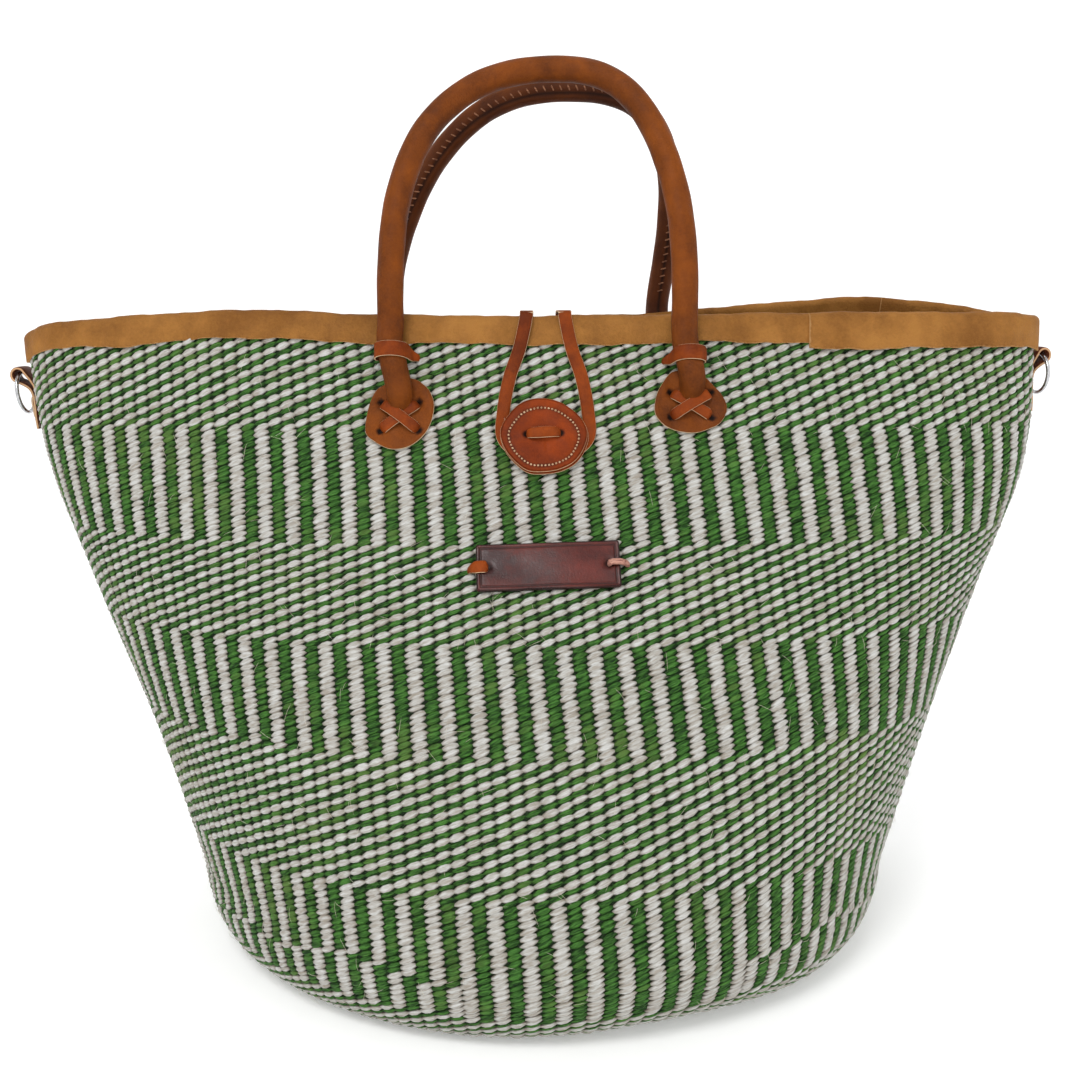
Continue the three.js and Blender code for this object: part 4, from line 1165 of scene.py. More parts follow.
@dataclass
class Weave:
    """The twined wall: columns of stitches round the shell and rows up it, at even lengths of path."""

    columns: int = 166
    row_pitch: float = 2.62
    drift: float = 0.03
    band_tops: tuple[float, ...] = (17.0, 66.0, 118.0, 162.0, 206.8, 254.2)
    base_zones: tuple[tuple[int, float, float], ...] = (
        (166, 1.0, 0.66), (83, 0.66, 0.33), (42, 0.33, 0.16), (21, 0.16, 0.05),
    )
    fibre_count: int = 1100
    fibre_radius: float = 0.07
    core_skin: float = 0.85
    jump_top: float = 31.0
    seed: int = 7

    def __post_init__(self) -> None:
        """Tabulates height by row and angle by height and share of the way round."""
        z = np.linspace(0, SHELL.rim_height, 900)
        ends = SHELL.point(np.zeros_like(z), z)
        front = SHELL.point(np.full_like(z, 0.75 * TURN), z)
        steps = [np.linalg.norm(np.diff(line, axis=0), axis=1) for line in (ends, front)]
        path = np.concatenate([[0], np.cumsum((steps[0] + steps[1]) / 2)])
        self.rows = int(path[-1] / self.row_pitch)
        self._row_heights = np.interp(np.arange(self.rows + 1), path / path[-1] * self.rows, z)
        self._levels = np.linspace(0, SHELL.rim_height, 40)
        fine = np.linspace(0, TURN, 1441)
        self._shares = np.linspace(0, 1, 721)
        rings = SHELL.point(fine[None, :], self._levels[:, None])
        length = np.cumsum(np.linalg.norm(np.diff(rings, axis=1), axis=2), axis=1)
        length = np.concatenate([np.zeros((len(self._levels), 1)), length], 1)
        self._angles = np.stack([np.interp(self._shares * row[-1], row, fine) for row in length])

    def row_at(self, z: float) -> int:
        """The whole row nearest to a height."""
        return int(round(float(np.interp(z, self._row_heights, np.arange(self.rows + 1)))))

    def _place(self, share: Array, v: Array) -> Array:
        """The shell's point at a share of the way round and a row. Rows below 0 run in under the base.

        Args:
            share: Shares of the way round.
            v: Rows.

        Returns:
            The points.
        """
        share = np.mod(share, 1.0)
        z = np.interp(v, np.arange(self.rows + 1), self._row_heights)
        k = np.clip(z / self._levels[1], 0, len(self._levels) - 1.001)
        j = share * (len(self._shares) - 1)
        k0, j0 = k.astype(int), np.minimum(j.astype(int), len(self._shares) - 2)
        kt, jt = k - k0, j - j0
        low = self._angles[k0, j0] * (1 - jt) + self._angles[k0, j0 + 1] * jt
        high = self._angles[k0 + 1, j0] * (1 - jt) + self._angles[k0 + 1, j0 + 1] * jt
        angle = low * (1 - kt) + high * kt
        point = SHELL.point(angle, SHELL.lifted(z, angle))
        reach = np.clip(1 + np.minimum(v, 0) * self.row_pitch / SHELL.flat_radius, 0.0, 1.0)
        middle = np.array([SHELL.sway, 0, 0])
        level = np.array([1.0, 1.0, 0.0])
        return np.where((v < 0)[..., None], middle + (point - middle) * level * reach[..., None], point)

    def surface(self, share: Array, v: Array) -> tuple[Array, Array]:
        """Points of the shell and their outward unit normals, from small steps round and up.

        Args:
            share: Shares of the way round.
            v: Rows.

        Returns:
            The points and the normals.
        """
        share, v = np.broadcast_arrays(share, v)
        small_turn, small_row = 0.0004, 0.1
        point = self._place(share, v)
        around = self._place(share + small_turn, v) - self._place(share - small_turn, v)
        upward = self._place(share, v + small_row) - self._place(share, v - small_row)
        return point, unit(np.cross(around, upward))

    def lift(self, v: Array) -> Array:
        """How far the crests stand off the shell's face: nothing under the base, all from ten rows up."""
        t = np.clip(v / 10.0, 0, 1)
        return -0.5 * (1 - t * t * (3 - 2 * t))

    def stitches(
        self, shape: Stitch, face: Face, i: Array, m: Array, columns: int, dyed: Array, seed: int
    ) -> Form:
        """Leaves at columns i and rows m.

        Each leaf runs over its column and rises by one row, as share u and row v of its lattice. Its
        height off the wall is the section's share of the crest over its foot.

        Args:
            shape: The leaf's rings and corners.
            face: Which face of the wall.
            i: Column of each stitch.
            m: Row of each stitch.
            columns: Columns round the shell there.
            dyed: 1 for a green stitch, 0 for a natural one.
            seed: Start of the random draws.

        Returns:
            The stitches with the values "dyed", "tone" and "crest" and their lie.
        """
        draw = np.random.default_rng(self.seed + seed)
        count = len(i)
        along = np.array([-shape.overlap] + [r[0] for r in shape.rings] + [1 + shape.overlap])
        wide = np.array([0.0] + [r[1] for r in shape.rings] + [0.0])
        tall = np.array([-0.12] + [r[2] for r in shape.rings] + [-0.12])
        s = np.array([c[0] for c in shape.section])
        t = np.array([c[1] for c in shape.section])
        jitter = draw.normal(0, 1, (count, 5))
        green = dyed[:, None]
        fit = 1 + (shape.green_width - 1) * green
        width = wide * shape.half_width * fit * (1 + 0.08 * jitter[:, 0, None])
        stand = (shape.crest - shape.foot) * (1 + (shape.green_crest - 1) * green)
        height = shape.foot + stand * tall * (1 + 0.06 * jitter[:, 1, None])
        reach = 0.5 + (along - 0.5) * (1 + (shape.green_length - 1) * green)
        slope = shape.lean + 0.08 * jitter[:, 2, None]
        rise = slope * (along - 0.5)
        centre = m[:, None] + 0.5 + rise * face.value + 0.06 * jitter[:, 3, None]
        u = i[:, None, None] + reach[..., None] + 0 * s + 0.03 * jitter[:, 4, None, None]
        v = centre[..., None] + width[..., None] * s
        h = shape.foot + (height[..., None] - shape.foot) * t
        share = (u + self.drift * (self.rows - v)) / self.columns if columns == self.columns else u / columns
        point, normal = self.surface(share, v)
        off = h + self.lift(v) if face is Face.OUTSIDE else -SHELL.wall - h
        grid = point + normal * off[..., None]
        grid[..., 2] = np.maximum(grid[..., 2], 0.0)
        middle = len(s) // 2
        form = repeated(grid[:, 1:-1], grid[:, 0, middle], grid[:, -1, middle])
        size = (len(along) - 2) * len(s)
        # Crest: each corner's share of the stitch's height, 0 at its edges and tips, where the sisal paints
        # shade
        crest = np.concatenate([np.outer(tall[1:-1], t).ravel(), [0, 0]])
        row_tone = draw.normal(0, 1, 4000)[(m * 2 + i.astype(int) % 2).astype(int) % 4000]
        tone = np.clip(0.5 + 0.17 * draw.normal(0, 1, count) + 0.1 * row_tone, 0, 1)
        form.set("dyed", np.repeat(dyed.astype(float), size + 2))
        form.set("tone", np.repeat(tone, size + 2))
        form.set("crest", np.tile(crest, count))
        across = np.concatenate([np.tile(s, len(along) - 2), [0, 0]]) * 1.5
        length = np.concatenate([np.repeat(along[1:-1], len(s)), [along[0], along[-1]]]) * 6.7
        shift = draw.uniform(0, 400, (count, 2))
        form.lie = (np.stack([length, across], -1)[None] + shift[:, None]).reshape(-1, 2)
        return form

    @staticmethod
    def dye(stripe: Stripe, i: Array, m: Array, flip: int = 0) -> Array:
        """Which stitches are green: every other column, or every other slanted rope of stitches."""
        return np.mod(i + flip if stripe is Stripe.UPRIGHT else m - i + flip, 2)

    def jumped(self, dyed: Array, i: Array, m: Array) -> Array:
        """The lowest upright band's colours, swapped in its last rows over most of the way round.

        Args:
            dyed: The colours.
            i: Columns.
            m: Rows.

        Returns:
            The swapped colours.
        """
        edge = self.row_at(self.jump_top) + 1.4 * np.sin(i * 0.19) + 0.8 * np.sin(i * 0.53 + 1)
        swapped = (m < edge) & (np.sin(i * 0.085 + 0.4) > -0.7)
        return np.where(swapped, 1 - dyed, dyed)

    def lattice(self, low: int, high: int, columns: int) -> tuple[Array, Array]:
        """All columns and rows from low up to but not including high."""
        m, i = np.meshgrid(np.arange(low, high), np.arange(columns), indexing="ij")
        return i.ravel().astype(float), m.ravel().astype(float)

    def bands(self) -> list[tuple[int, int, Stripe]]:
        """First row, end row and stripe of each band, from the base's edge up.

        Returns:
            The seven bands.
        """
        tops = [self.row_at(z) for z in self.band_tops] + [self.rows - 1]
        stripes = [Stripe.SLANTED, Stripe.UPRIGHT] * 4
        return [(low, high, stripes[k]) for k, (low, high) in enumerate(zip([0] + tops[:-1], tops))]

    def core(self) -> Form:
        """The closed body of the wall behind the stitches: an outer and an inner skin, joined at the rim.

        Returns:
            The closed form.
        """
        v = np.concatenate([np.linspace(-56, 0, 15), np.linspace(3, self.rows - 0.8, 64)])
        share = np.arange(self.columns) / self.columns
        point, normal = self.surface(share[None, :], v[:, None])
        outer = point + normal * (self.lift(v) - self.core_skin)[:, None, None]
        inner = point - normal * (SHELL.wall - self.core_skin)
        form = skin(np.concatenate([outer, inner[::-1]]))
        # Crest 0 and dyed 1 paint the whole core in the green stitches' valley shade, near-black, for the shade
        # in the gaps between stitches
        form.set("dyed", 1.0).set("tone", 0.0).set("crest", 0.0)
        form.lie = form.points[:, :2] * 0.9
        return form

    def loose_fibres(self) -> Form:
        """Fine stray fibres that stand off the wall: short bent hairs of three sides.

        Returns:
            The fibres.
        """
        draw = np.random.default_rng(self.seed + 90)
        count = self.fibre_count
        share = draw.uniform(0, 1, count)
        row = draw.uniform(4, self.rows - 8, count)
        point, normal = self.surface(share, row)
        along_share = draw.normal(0, 1, (count, 2))
        beside, _ = self.surface(share + 0.002 * along_share[:, 0], row + 1.2 * along_share[:, 1])
        way = unit(beside - point) * draw.uniform(4, 11, count)[:, None]
        t = np.array([0, 0.25, 0.55, 0.8, 1.0])
        stand = draw.uniform(0.6, 2.2, count)[:, None] * np.sin(t * 2.4) + 0.1
        droop = draw.normal(0, 0.8, count)[:, None] * t * t
        line = point[:, None] + way[:, None] * t[:, None] + normal[:, None] * stand[..., None]
        line[..., 2] = np.maximum(line[..., 2] + droop, 0.5)
        angle = np.arange(3)[:, None] / 3 * TURN
        across = unit(np.cross(way, normal))[:, None, None]
        section = across * np.cos(angle) + normal[:, None, None] * np.sin(angle)
        return repeated(line[:, 1:4, None] + self.fibre_radius * section, line[:, 0], line[:, 4])

    def build(self, shop: Workshop) -> None:
        """Makes the core, the outer bands, the inner faces, the base and the loose fibres.

        Args:
            shop: Where pieces are dressed.
        """
        home = ("basket", "woven_body")
        shop.riding(self.core(), "weave_core", "sisal", *home)
        for k, (low, high, stripe) in enumerate(self.bands()):
            i, m = self.lattice(low, high, self.columns)
            dyed = self.dye(stripe, i, m)
            if k == 1:
                dyed = self.jumped(dyed, i, m)
            form = self.stitches(FULL_STITCH, Face.OUTSIDE, i, m, self.columns, dyed, k)
            shop.riding(form, f"weave_band_{k + 1}_{stripe.value}", "sisal", *home)
        halves = [(0, self.rows // 2), (self.rows // 2, self.rows - 1)]
        for k, (low, high) in enumerate(halves):
            forms = []
            for start, end, stripe in self.bands():
                i, m = self.lattice(max(low, start), min(high, end), self.columns)
                if len(i):
                    dyed = self.dye(stripe, i, m, 1) if stripe is Stripe.UPRIGHT else np.mod(m + i, 2)
                    forms.append(self.stitches(PLAIN_STITCH, Face.INSIDE, i, m, self.columns, dyed, 20 + k))
            shop.riding(joined(forms), f"weave_inside_{k + 1}", "sisal", *home)
        for face in Face:
            forms = []
            total = SHELL.flat_radius / self.row_pitch
            for k, (columns, start, end) in enumerate(self.base_zones):
                i, m = self.lattice(-round(total * (1 - end)), -round(total * (1 - start)), columns)
                dyed = self.dye(Stripe.SLANTED, i, m)
                forms.append(self.stitches(PLAIN_STITCH, face, i, m, columns, dyed, 40 + k))
            name = "base_underside" if face is Face.OUTSIDE else "base_floor"
            shop.riding(joined(forms), name, "sisal", *home)
        shop.riding(self.loose_fibres(), "loose_fibres", "loose_fibre", *home)


# The leather binding of the mouth


@dataclass
class Binding:
    """Two lengths of soft leather folded over the free edge, with gentle folds along them."""

    long_drop: float = 12.0
    short_drop: float = 15.5
    front_seam_x: float = 130.0
    rear_seam_x: float = 182.0
    lap: float = 5.0
    step_mm: float = 1.6
    short_fullness: float = 0.75
    outer_corners: int = 29
    waves: tuple[Point, ...] = (
        (74, 0.9, 1.0), (43, 0.7, 2.2), (23, 0.45, 4.0), (11.5, 0.3, 5.0), (6.7, 0.16, 7),
    )

    def section(self, drop: float) -> tuple[Array, Array]:
        """The folded strip's section as offset and height: out, over the top and down inside, and back.

        Args:
            drop: How far its edges hang below the free edge.

        Returns:
            The closed section, and 1 at its four cut corners.
        """
        half = SHELL.wall / 2 + BINDING_OUT
        inner_half = half - BINDING_LEATHER
        arc = np.linspace(0, math.pi, 13)
        outside, inside = (
            np.stack([reach * np.cos(arc), reach * np.sin(arc) - SHELL.wall / 2 - 0.15], -1)
            for reach in (half, inner_half)
        )
        inside = inside[::-1]
        down = np.linspace(-drop, outside[0, 1], 9)[:-1]
        legs = [
            np.stack([np.full(8, half), down], -1),
            outside,
            np.stack([np.full(8, -half), down[::-1]], -1),
            np.stack([np.full(4, -inner_half), np.linspace(-drop, inside[0, 1], 5)[:-1]], -1),
            inside,
            np.stack([np.full(4, inner_half), np.linspace(-drop, inside[0, 1], 5)[:-1][::-1]], -1),
        ]
        shape = np.concatenate(legs)
        shape[:, 0] -= SHELL.wall / 2
        lower = np.zeros(len(shape))
        lower[[0, self.outer_corners - 1, self.outer_corners, -1]] = 1.0
        return shape, lower

    def strip(self, start: float, end: float, drop: float, swell: float, seed: int) -> Form:
        """One length of binding between two angles.

        Args:
            start: First angle.
            end: Last angle.
            drop: How far its edges hang below the free edge.
            swell: Added fullness outwards.
            seed: Start of the random draws for its folds.

        Returns:
            The form with the value "raw" on its cut edges.
        """
        draw = np.random.default_rng(seed)
        shape, lower = self.section(drop)
        fine = np.linspace(start, end, 4000)
        edge = SHELL.point(fine, np.full_like(fine, SHELL.rim_height))
        length = np.concatenate([[0], np.cumsum(np.linalg.norm(np.diff(edge, axis=0), axis=1))])
        count = int(length[-1] / self.step_mm)
        along = np.linspace(0, length[-1], count)
        angle = np.interp(along, length, fine)
        folds = np.zeros((count, len(shape)))
        hang = np.zeros(count)
        depth = shape[:, 1] / drop
        for wave, size, slant in self.waves:
            phase, tilt = draw.uniform(0, TURN), draw.uniform(-slant, slant)
            folds += size * np.sin(along[:, None] / wave * TURN + phase + tilt * depth[None, :])
            hang += size * 0.7 * np.sin(along / wave * TURN * 0.7 + phase * 2)
        outer = (np.arange(len(shape)) < self.outer_corners).astype(float)
        fullness = swell + folds * (0.35 + 0.65 * np.clip(-depth, 0, 1))[None, :] * outer * 0.6
        toward = np.sign(shape[:, 0] + SHELL.wall / 2)
        offset = shape[None, :, 0] + fullness * toward[None, :]
        longer = 1 + (hang / drop)[:, None] * 0.8 * (depth < -0.55)
        above = shape[None, :, 1] * longer + 0.25 * folds * (depth > -0.2)
        base = SHELL.rim_height + SHELL.rim_rise(angle)
        rings = SHELL.point(angle[:, None], base[:, None] + above, offset)
        form = skin(rings)
        raw = np.tile(lower, count)
        raw[: len(shape)] = 1.0
        raw[-len(shape):] = 1.0
        form.set("raw", np.concatenate([raw * 0.6, [1, 1]]))
        return form

    def build(self, shop: Workshop) -> None:
        """Makes the long strip and the short strip, which laps over it at both seams.

        Args:
            shop: Where pieces are dressed.
        """
        rear = SHELL.angle_at(self.rear_seam_x, Side.REAR)
        front = SHELL.angle_at(self.front_seam_x, Side.FRONT)
        lap = self.lap / SHELL.rim_half_width
        long_strip = self.strip(rear - lap * 0.2, front + TURN + lap * 0.2, self.long_drop, 0.0, 3)
        shop.riding(long_strip, "binding_long", "binding_leather", "basket", "rim_binding_long")
        short_strip = self.strip(front - lap / 2, rear + lap / 2, self.short_drop, self.short_fullness, 4)
        shop.riding(short_strip, "binding_short", "binding_leather", "basket", "rim_binding_short")


# Handles, paddles, their laces and keepers


@dataclass(frozen=True)
class Lace:
    """The laces' leather and where they pass through a paddle, as shares of its size."""

    width: float = 5.0
    neck: float = 3.0
    leather: float = 1.1
    spread_share: float = 0.265
    rise_share: float = 0.19
    centre_share: float = 0.54
    crown: float = 1.3
    dive: float = -0.6

    def arched(self, outside: float, crown: float) -> list[tuple[float, float, float]]:
        """A run over a paddle as share, height and width: half a sine between two dives into the holes."""
        over = [(s, outside + crown * math.sin(math.pi * s), self.width) for s in (0.07, 0.25, 0.5, 0.75, 0.93)]
        return [(0.0, self.dive, self.neck), *over, (1.0, self.dive, self.neck)]


LACE = Lace()
PADDLE_LEATHER = 2.0
BACKING_LEATHER = 1.5


def run_stops(place: WallFrame, first: tuple, last: tuple, table: Sequence[tuple]) -> list[list[float]]:
    """Rows for strap along a straight run on the wall, which lies flat to it.

    Args:
        place: The frame that holds the run.
        first: The u and v of its start.
        last: The u and v of its end.
        table: Share of the way, height off the wall and width of each stop.

    Returns:
        The rows.
    """
    (u0, v0), (u1, v1) = first, last
    length = math.hypot(u1 - u0, v1 - v0)
    du, dv = (u1 - u0) / length, (v1 - v0) / length
    places = [(u0 + (u1 - u0) * share, v0 + (v1 - v0) * share, h, width) for share, h, width in table]
    return [stop(place.at(u, v, h), place.way(u, v, -dv, du), width) for u, v, h, width in places]


@dataclass(frozen=True)
class Paddle:
    """One flattened end of a handle: its size, its place below the rim and its cut outline."""

    width: float
    height: float
    drop: float
    shift: float
    keeper_drop: float
    outline: Pairs

    def frame(self, x: float, side: Side, share: float) -> WallFrame:
        """The wall's frame at a share of the paddle's height, for a leg at a sideways place."""
        return WallFrame(x + self.shift, self.drop + self.height * share, side)

    def holes(self, share: float) -> list[tuple[float, float]]:
        """The four lace holes as u and v from a share of the paddle's height.

        Args:
            share: The share of the height, from the top, that has v 0.

        Returns:
            The holes, in the order in which the lace takes them.
        """
        spread, rise = self.width * LACE.spread_share, self.height * LACE.rise_share
        down = (share - LACE.centre_share) * self.height
        return [(-spread, rise + down), (spread, -rise + down), (spread, rise + down), (-spread, -rise + down)]

    def relief(self, u: Array, v: Array) -> Array:
        """Height added to the leather: sides curled up by a cube, a wave, a ridge below the tube and dimples.

        Args:
            u: Sideways places from the paddle's middle.
            v: Upward places from it.

        Returns:
            The height at each place.
        """
        dimples = sum(np.exp(-((u - a) ** 2 + (v - b) ** 2) / 3.4) for a, b in self.holes(0.5))
        curl = 1.1 * np.abs(u / (self.width / 2)) ** 3
        buckle = 0.35 * np.sin(u * 0.5 + v * 0.33)
        ridge = 1.2 * np.exp(-((u / 5.5) ** 2)) * np.clip(v / self.height + 0.35, 0, 1)
        return curl + buckle + ridge - 1.4 * dimples

    def form(self, x: float, side: Side) -> Form:
        """The paddle on the wall, with painted shade in the lace's holes.

        Args:
            x: The leg's sideways place.
            side: Which long face.

        Returns:
            The closed form.
        """
        outline = smooth_outline(self.outline, 64)
        outline = np.stack([outline[:, 0] * self.width / 2, (0.5 - outline[:, 1]) * self.height], -1)
        place = self.frame(x, side, 0.5)
        form = plate(place.at, outline, SEAT_GAP, PADDLE_LEATHER, self.relief, 0.5, 26)
        flat = place.flat(form.points)
        # Painted shade in the lace's holes: near-black at each hole, on the top face only
        reach = [((flat - 1.08 * np.array(hole)) ** 2).sum(-1) / 3.2 for hole in self.holes(0.5)]
        pit = np.clip(sum(np.exp(-(far ** 4)) for far in reach), 0, 1)
        return form.set("pit", pit * (form.values["inset"] > 0.5)).set("burnt", 0.0)


LEFT_PADDLE = Paddle(31.5, 33, 26, 4.4, 16, (
    (0.0, -0.02), (-0.47, 0.08), (-0.73, 0.17), (-0.94, 0.44), (-1, 0.77), (-0.73, 0.9), (-0.29, 1),
    (0.14, 0.99), (0.47, 0.91), (0.76, 0.77), (0.94, 0.58), (1, 0.36), (0.87, 0.17), (0.68, 0.07), (0.46, 0),
))
RIGHT_PADDLE = Paddle(33.5, 29, 22.8, 2.9, 17.4, (
    (0.0, 0.0), (-0.52, 0), (-0.79, 0.19), (-0.96, 0.4), (-1, 0.67), (-0.79, 0.85), (-0.52, 0.94),
    (0.04, 1), (0.46, 0.94), (0.82, 0.83), (1, 0.61), (0.89, 0.4), (0.63, 0.22), (0.4, 0.08),
))


@dataclass
class Handle:
    """One rolled leather handle with its two paddles, its rope core, and what laces it to the wall."""

    name: str
    side: Side
    left_x: float
    right_x: float
    rise: float
    power: float
    skew: float
    skew_power: float
    over_strips: tuple[int, int]
    radius: float = 6.1
    rope_radius: float = 4.2
    hinge_above_rim: float = 9.0
    bend_zone: float = 9.0
    lean: float = 34.0
    step_mm: float = 2.0
    leg_shares: tuple[float, ...] = (0.3, 0.66, 0.93, 1.0, 1.0, 1.0, 1.0)
    keeper_near: float = 7.4
    keeper_far: float = 11.5

    def __post_init__(self) -> None:
        """Finds the height of the hinge, and the handle's middle line."""
        self.hinge = SHELL.rim_height + self.hinge_above_rim
        self.path, self.share = self.line()

    def leg(self, x: float, paddle: Paddle) -> Array:
        """The leg's middle line from the paddle's middle up past the binding to the bend above the rim.

        Args:
            x: The leg's sideways place.
            paddle: The paddle at its end.

        Returns:
            Seven points.
        """
        clear = BINDING_OUT + 2 * SEAT_GAP + self.radius
        beside = SHELL.face_point(x, SHELL.rim_height, self.side)
        beside = beside + np.array([0, self.side.value * clear, 0])
        under = SHELL.rim_height - BINDING_DROP
        below = SHELL.face_point(x, under, self.side) + SHELL.face_normal(x, under, self.side) * clear
        tip_height = SEAT_GAP + PADDLE_LEATHER - 0.8 + self.radius
        places = ((0.58, -1.4), (0.47, -0.7), (0.31, 3.4), (0.16, tip_height))
        ends = [paddle.frame(x, self.side, share).at(0, 0, h) for share, h in places]
        return np.stack([*ends, below, beside, np.array([x, beside[1], self.hinge])])

    def arch(self, bend_y: float) -> Array:
        """The arch above the bends: a superellipse that leans over the mouth and skews sideways.

        Args:
            bend_y: Where the bends stand along Y.

        Returns:
            Points from the left bend to the right one.
        """
        angle = np.linspace(math.pi, 0, 27)
        lift = np.abs(np.sin(angle)) ** (2 / self.power)
        x = (self.left_x + self.right_x) / 2
        x = x + (self.right_x - self.left_x) / 2 * signed_power(np.cos(angle), 2 / self.power)
        x = x + self.skew * lift ** self.skew_power
        y = bend_y - self.side.value * self.lean * lift * lift
        return np.stack([x, y, self.hinge + self.rise * lift], -1)

    def line(self) -> tuple[Array, Array]:
        """The whole middle line from paddle to paddle: both legs and the arch, in even steps.

        Returns:
            Its points, and each one's share of the full radius.
        """
        left, right = self.leg(self.left_x, LEFT_PADDLE), self.leg(self.right_x, RIGHT_PADDLE)
        arch = self.arch(left[-1, 1])[1:-1]
        rows = np.concatenate([
            np.column_stack([left, self.leg_shares]),
            np.column_stack([arch, np.ones(len(arch))]),
            np.column_stack([right, self.leg_shares])[::-1],
        ])
        even = smooth_line(rows, self.step_mm)
        return even[:, :3], np.clip(even[:, 3], 0.15, 1.0)

    @staticmethod
    def dents(place: Array, angle: Array) -> Array:
        """Radius added to the tube: the seam's groove, two fine waves, and a pinch at each keeper.

        Args:
            place: Shares of the way from paddle to paddle.
            angle: Angles round the tube.

        Returns:
            The added radius.
        """
        groove = -0.75 * np.exp(-((np.mod(angle / TURN + 0.5, 1) - 0.5) / 0.022) ** 2)
        waves = 0.07 * np.sin(place * 61 + 3 * angle) + 0.05 * np.sin(place * 137 + 2 * angle + 1)
        pinch = -0.6 * (np.exp(-((place - 0.17) / 0.02) ** 2) + np.exp(-((place - 0.83) / 0.02) ** 2))
        squeeze = pinch * np.cos(angle * 2) * 0.7 + pinch * 0.5
        return (groove + waves + squeeze) * np.interp(place, [0, 0.05, 0.95, 1], [0.1, 1, 1, 0.1])

    def leather(self) -> Form:
        """The rolled leather in one piece: a tube round the middle line with its dark seam and painted shade on
        its inner side, and both paddles.

        Returns:
            The form with the values "raw", "pit" and "burnt".
        """
        across = np.array([0.0, -self.side.value, 0.0])
        rolled = tube(self.path, self.share * self.radius, 28, across, self.dents)
        near = np.abs(np.mod(rolled.values["turned"] + 0.5, 1) - 0.5)
        rolled.set("raw", 0.0).set("pit", 0.8 * np.exp(-((near / 0.012) ** 2)))
        # Painted shade on the tube's inner side, broadly round the seam
        rolled.set("burnt", 0.62 * np.exp(-((near / 0.22) ** 4)))
        paddles = [LEFT_PADDLE.form(self.left_x, self.side), RIGHT_PADDLE.form(self.right_x, self.side)]
        return joined([rolled, *paddles])

    def seam_thread(self) -> Form:
        """Slanted stitches across the seam on the handle's inner side, at every other place above the bends.

        Returns:
            The stitches.
        """
        along = tangents(self.path)
        held = np.array([0.0, -float(self.side.value), 0.0])
        out = unit(held - along * (along @ held)[:, None])
        keep = np.where(self.path[:, 2] > self.hinge + 8)[0][::2]
        centres = self.path[keep] + out[keep] * (self.radius - 0.05)
        slanted = np.cross(along[keep], out[keep]) + 0.45 * along[keep]
        return beads(centres, slanted, out[keep], 3.2, 0.8, 0.9)

    @staticmethod
    def lay(place: Array, angle: Array) -> Array:
        """Radius added to the rope: three lobes that turn along its length."""
        return 0.35 * np.abs(np.sin(1.5 * angle + place * 130)) - 0.3

    def rope(self) -> Form:
        """The sisal rope in the handle: a tube of three lobes inside the leather."""
        path = self.path[7:-7]
        return tube(path, np.full(len(path), self.rope_radius), 12, np.array([1.0, 0, 0]), self.lay)

    def cross_lace(self, x: float, paddle: Paddle, over_strip: int) -> Form:
        """The lace that crosses the paddle corner to corner outside and runs upright inside the wall.

        Args:
            x: The leg's sideways place.
            paddle: The paddle.
            over_strip: Which of the two strips lies on top.

        Returns:
            The closed strip.
        """
        place = paddle.frame(x, self.side, LACE.centre_share)
        corners = paddle.holes(LACE.centre_share)
        outside = SEAT_GAP + PADDLE_LEATHER + SEAT_GAP + LACE.leather / 2
        inside = -SHELL.wall - SEAT_GAP - BACKING_LEATHER - SEAT_GAP - LACE.leather / 2
        crowns = [LACE.crown + LACE.leather + SEAT_GAP, LACE.crown]
        back = [(0.0, inside, LACE.neck), (0.5, inside - 0.2, LACE.width), (1.0, inside, LACE.neck)]
        rows = run_stops(place, corners[0], corners[1], LACE.arched(outside, crowns[over_strip]))
        rows += run_stops(place, corners[1], corners[2], back)
        rows += run_stops(place, corners[2], corners[3], LACE.arched(outside, crowns[1 - over_strip]))
        rows += run_stops(place, corners[3], corners[0], back)
        return strap(rows, LACE.leather, 0.8, closed=True)

    def keeper(self, x: float, paddle: Paddle) -> Form:
        """The band round the leg below the rim: an arc over the tube, and through the wall on both sides.

        Args:
            x: The leg's sideways place.
            paddle: The paddle at its end.

        Returns:
            The closed strip.
        """
        place = WallFrame(x, paddle.keeper_drop, self.side)
        origin = place.at(0, 0, 0)
        half = len(self.path) // 2
        leg = self.path[:half] if x < 0 else self.path[half:]
        centre = leg[int(np.argmin(np.abs(leg[:, 2] - origin[2])))]
        across = place.way(0, 0, 0, 1)
        leg_out = float((centre - origin) @ SHELL.face_normal(x, origin[2], self.side))
        leg_across = float(centre[0] - x)
        inward = -math.copysign(1.0, x)
        band = self.radius + SEAT_GAP + LACE.leather / 2
        inner = -SHELL.wall - SEAT_GAP - LACE.leather / 2
        near, far = leg_across - inward * self.keeper_near, leg_across + inward * self.keeper_far
        route = [(near, 0.6, inner, LACE.neck), (near, 0.3, 0.3, 4.6)]
        for degrees in (176, 145, 112, 80, 48, 20):
            turn = math.radians(degrees)
            u = leg_across + inward * (band + 0.25) * math.cos(turn)
            route.append((u, 0, leg_out + band * math.sin(turn), 7.0))
        route.append((far - inward * 2.6, -0.4, 3.0, 5.2))
        route += [(far, -0.8, 0.0, LACE.neck), (far, -0.8, inner, LACE.neck)]
        rows = [stop(place.at(u, v, h), across, width) for u, v, h, width in route]
        return strap(rows, LACE.leather, 0.8, closed=True, curl=0.3)

    def patch(self, x: float, paddle: Paddle) -> Form:
        """The leather patch that backs the cross lace: an oval plate on the wall's inner face.

        Args:
            x: The leg's sideways place.
            paddle: The paddle that it backs.

        Returns:
            The closed form.
        """
        angle = np.arange(40) / 40 * TURN
        size = 0.88 / 2
        outline = np.stack([paddle.width * size * np.cos(angle), paddle.height * size * np.sin(angle)], -1)
        place = paddle.frame(x, self.side, LACE.centre_share)

        def turned(u: Array, v: Array, h: Array) -> Array:
            """The point at u, v on the wall's inner face, h further in."""
            return place.at(u, v, -SHELL.wall - SEAT_GAP - h)

        return plate(turned, outline, 0.0, BACKING_LEATHER, None, 0.4, 5)

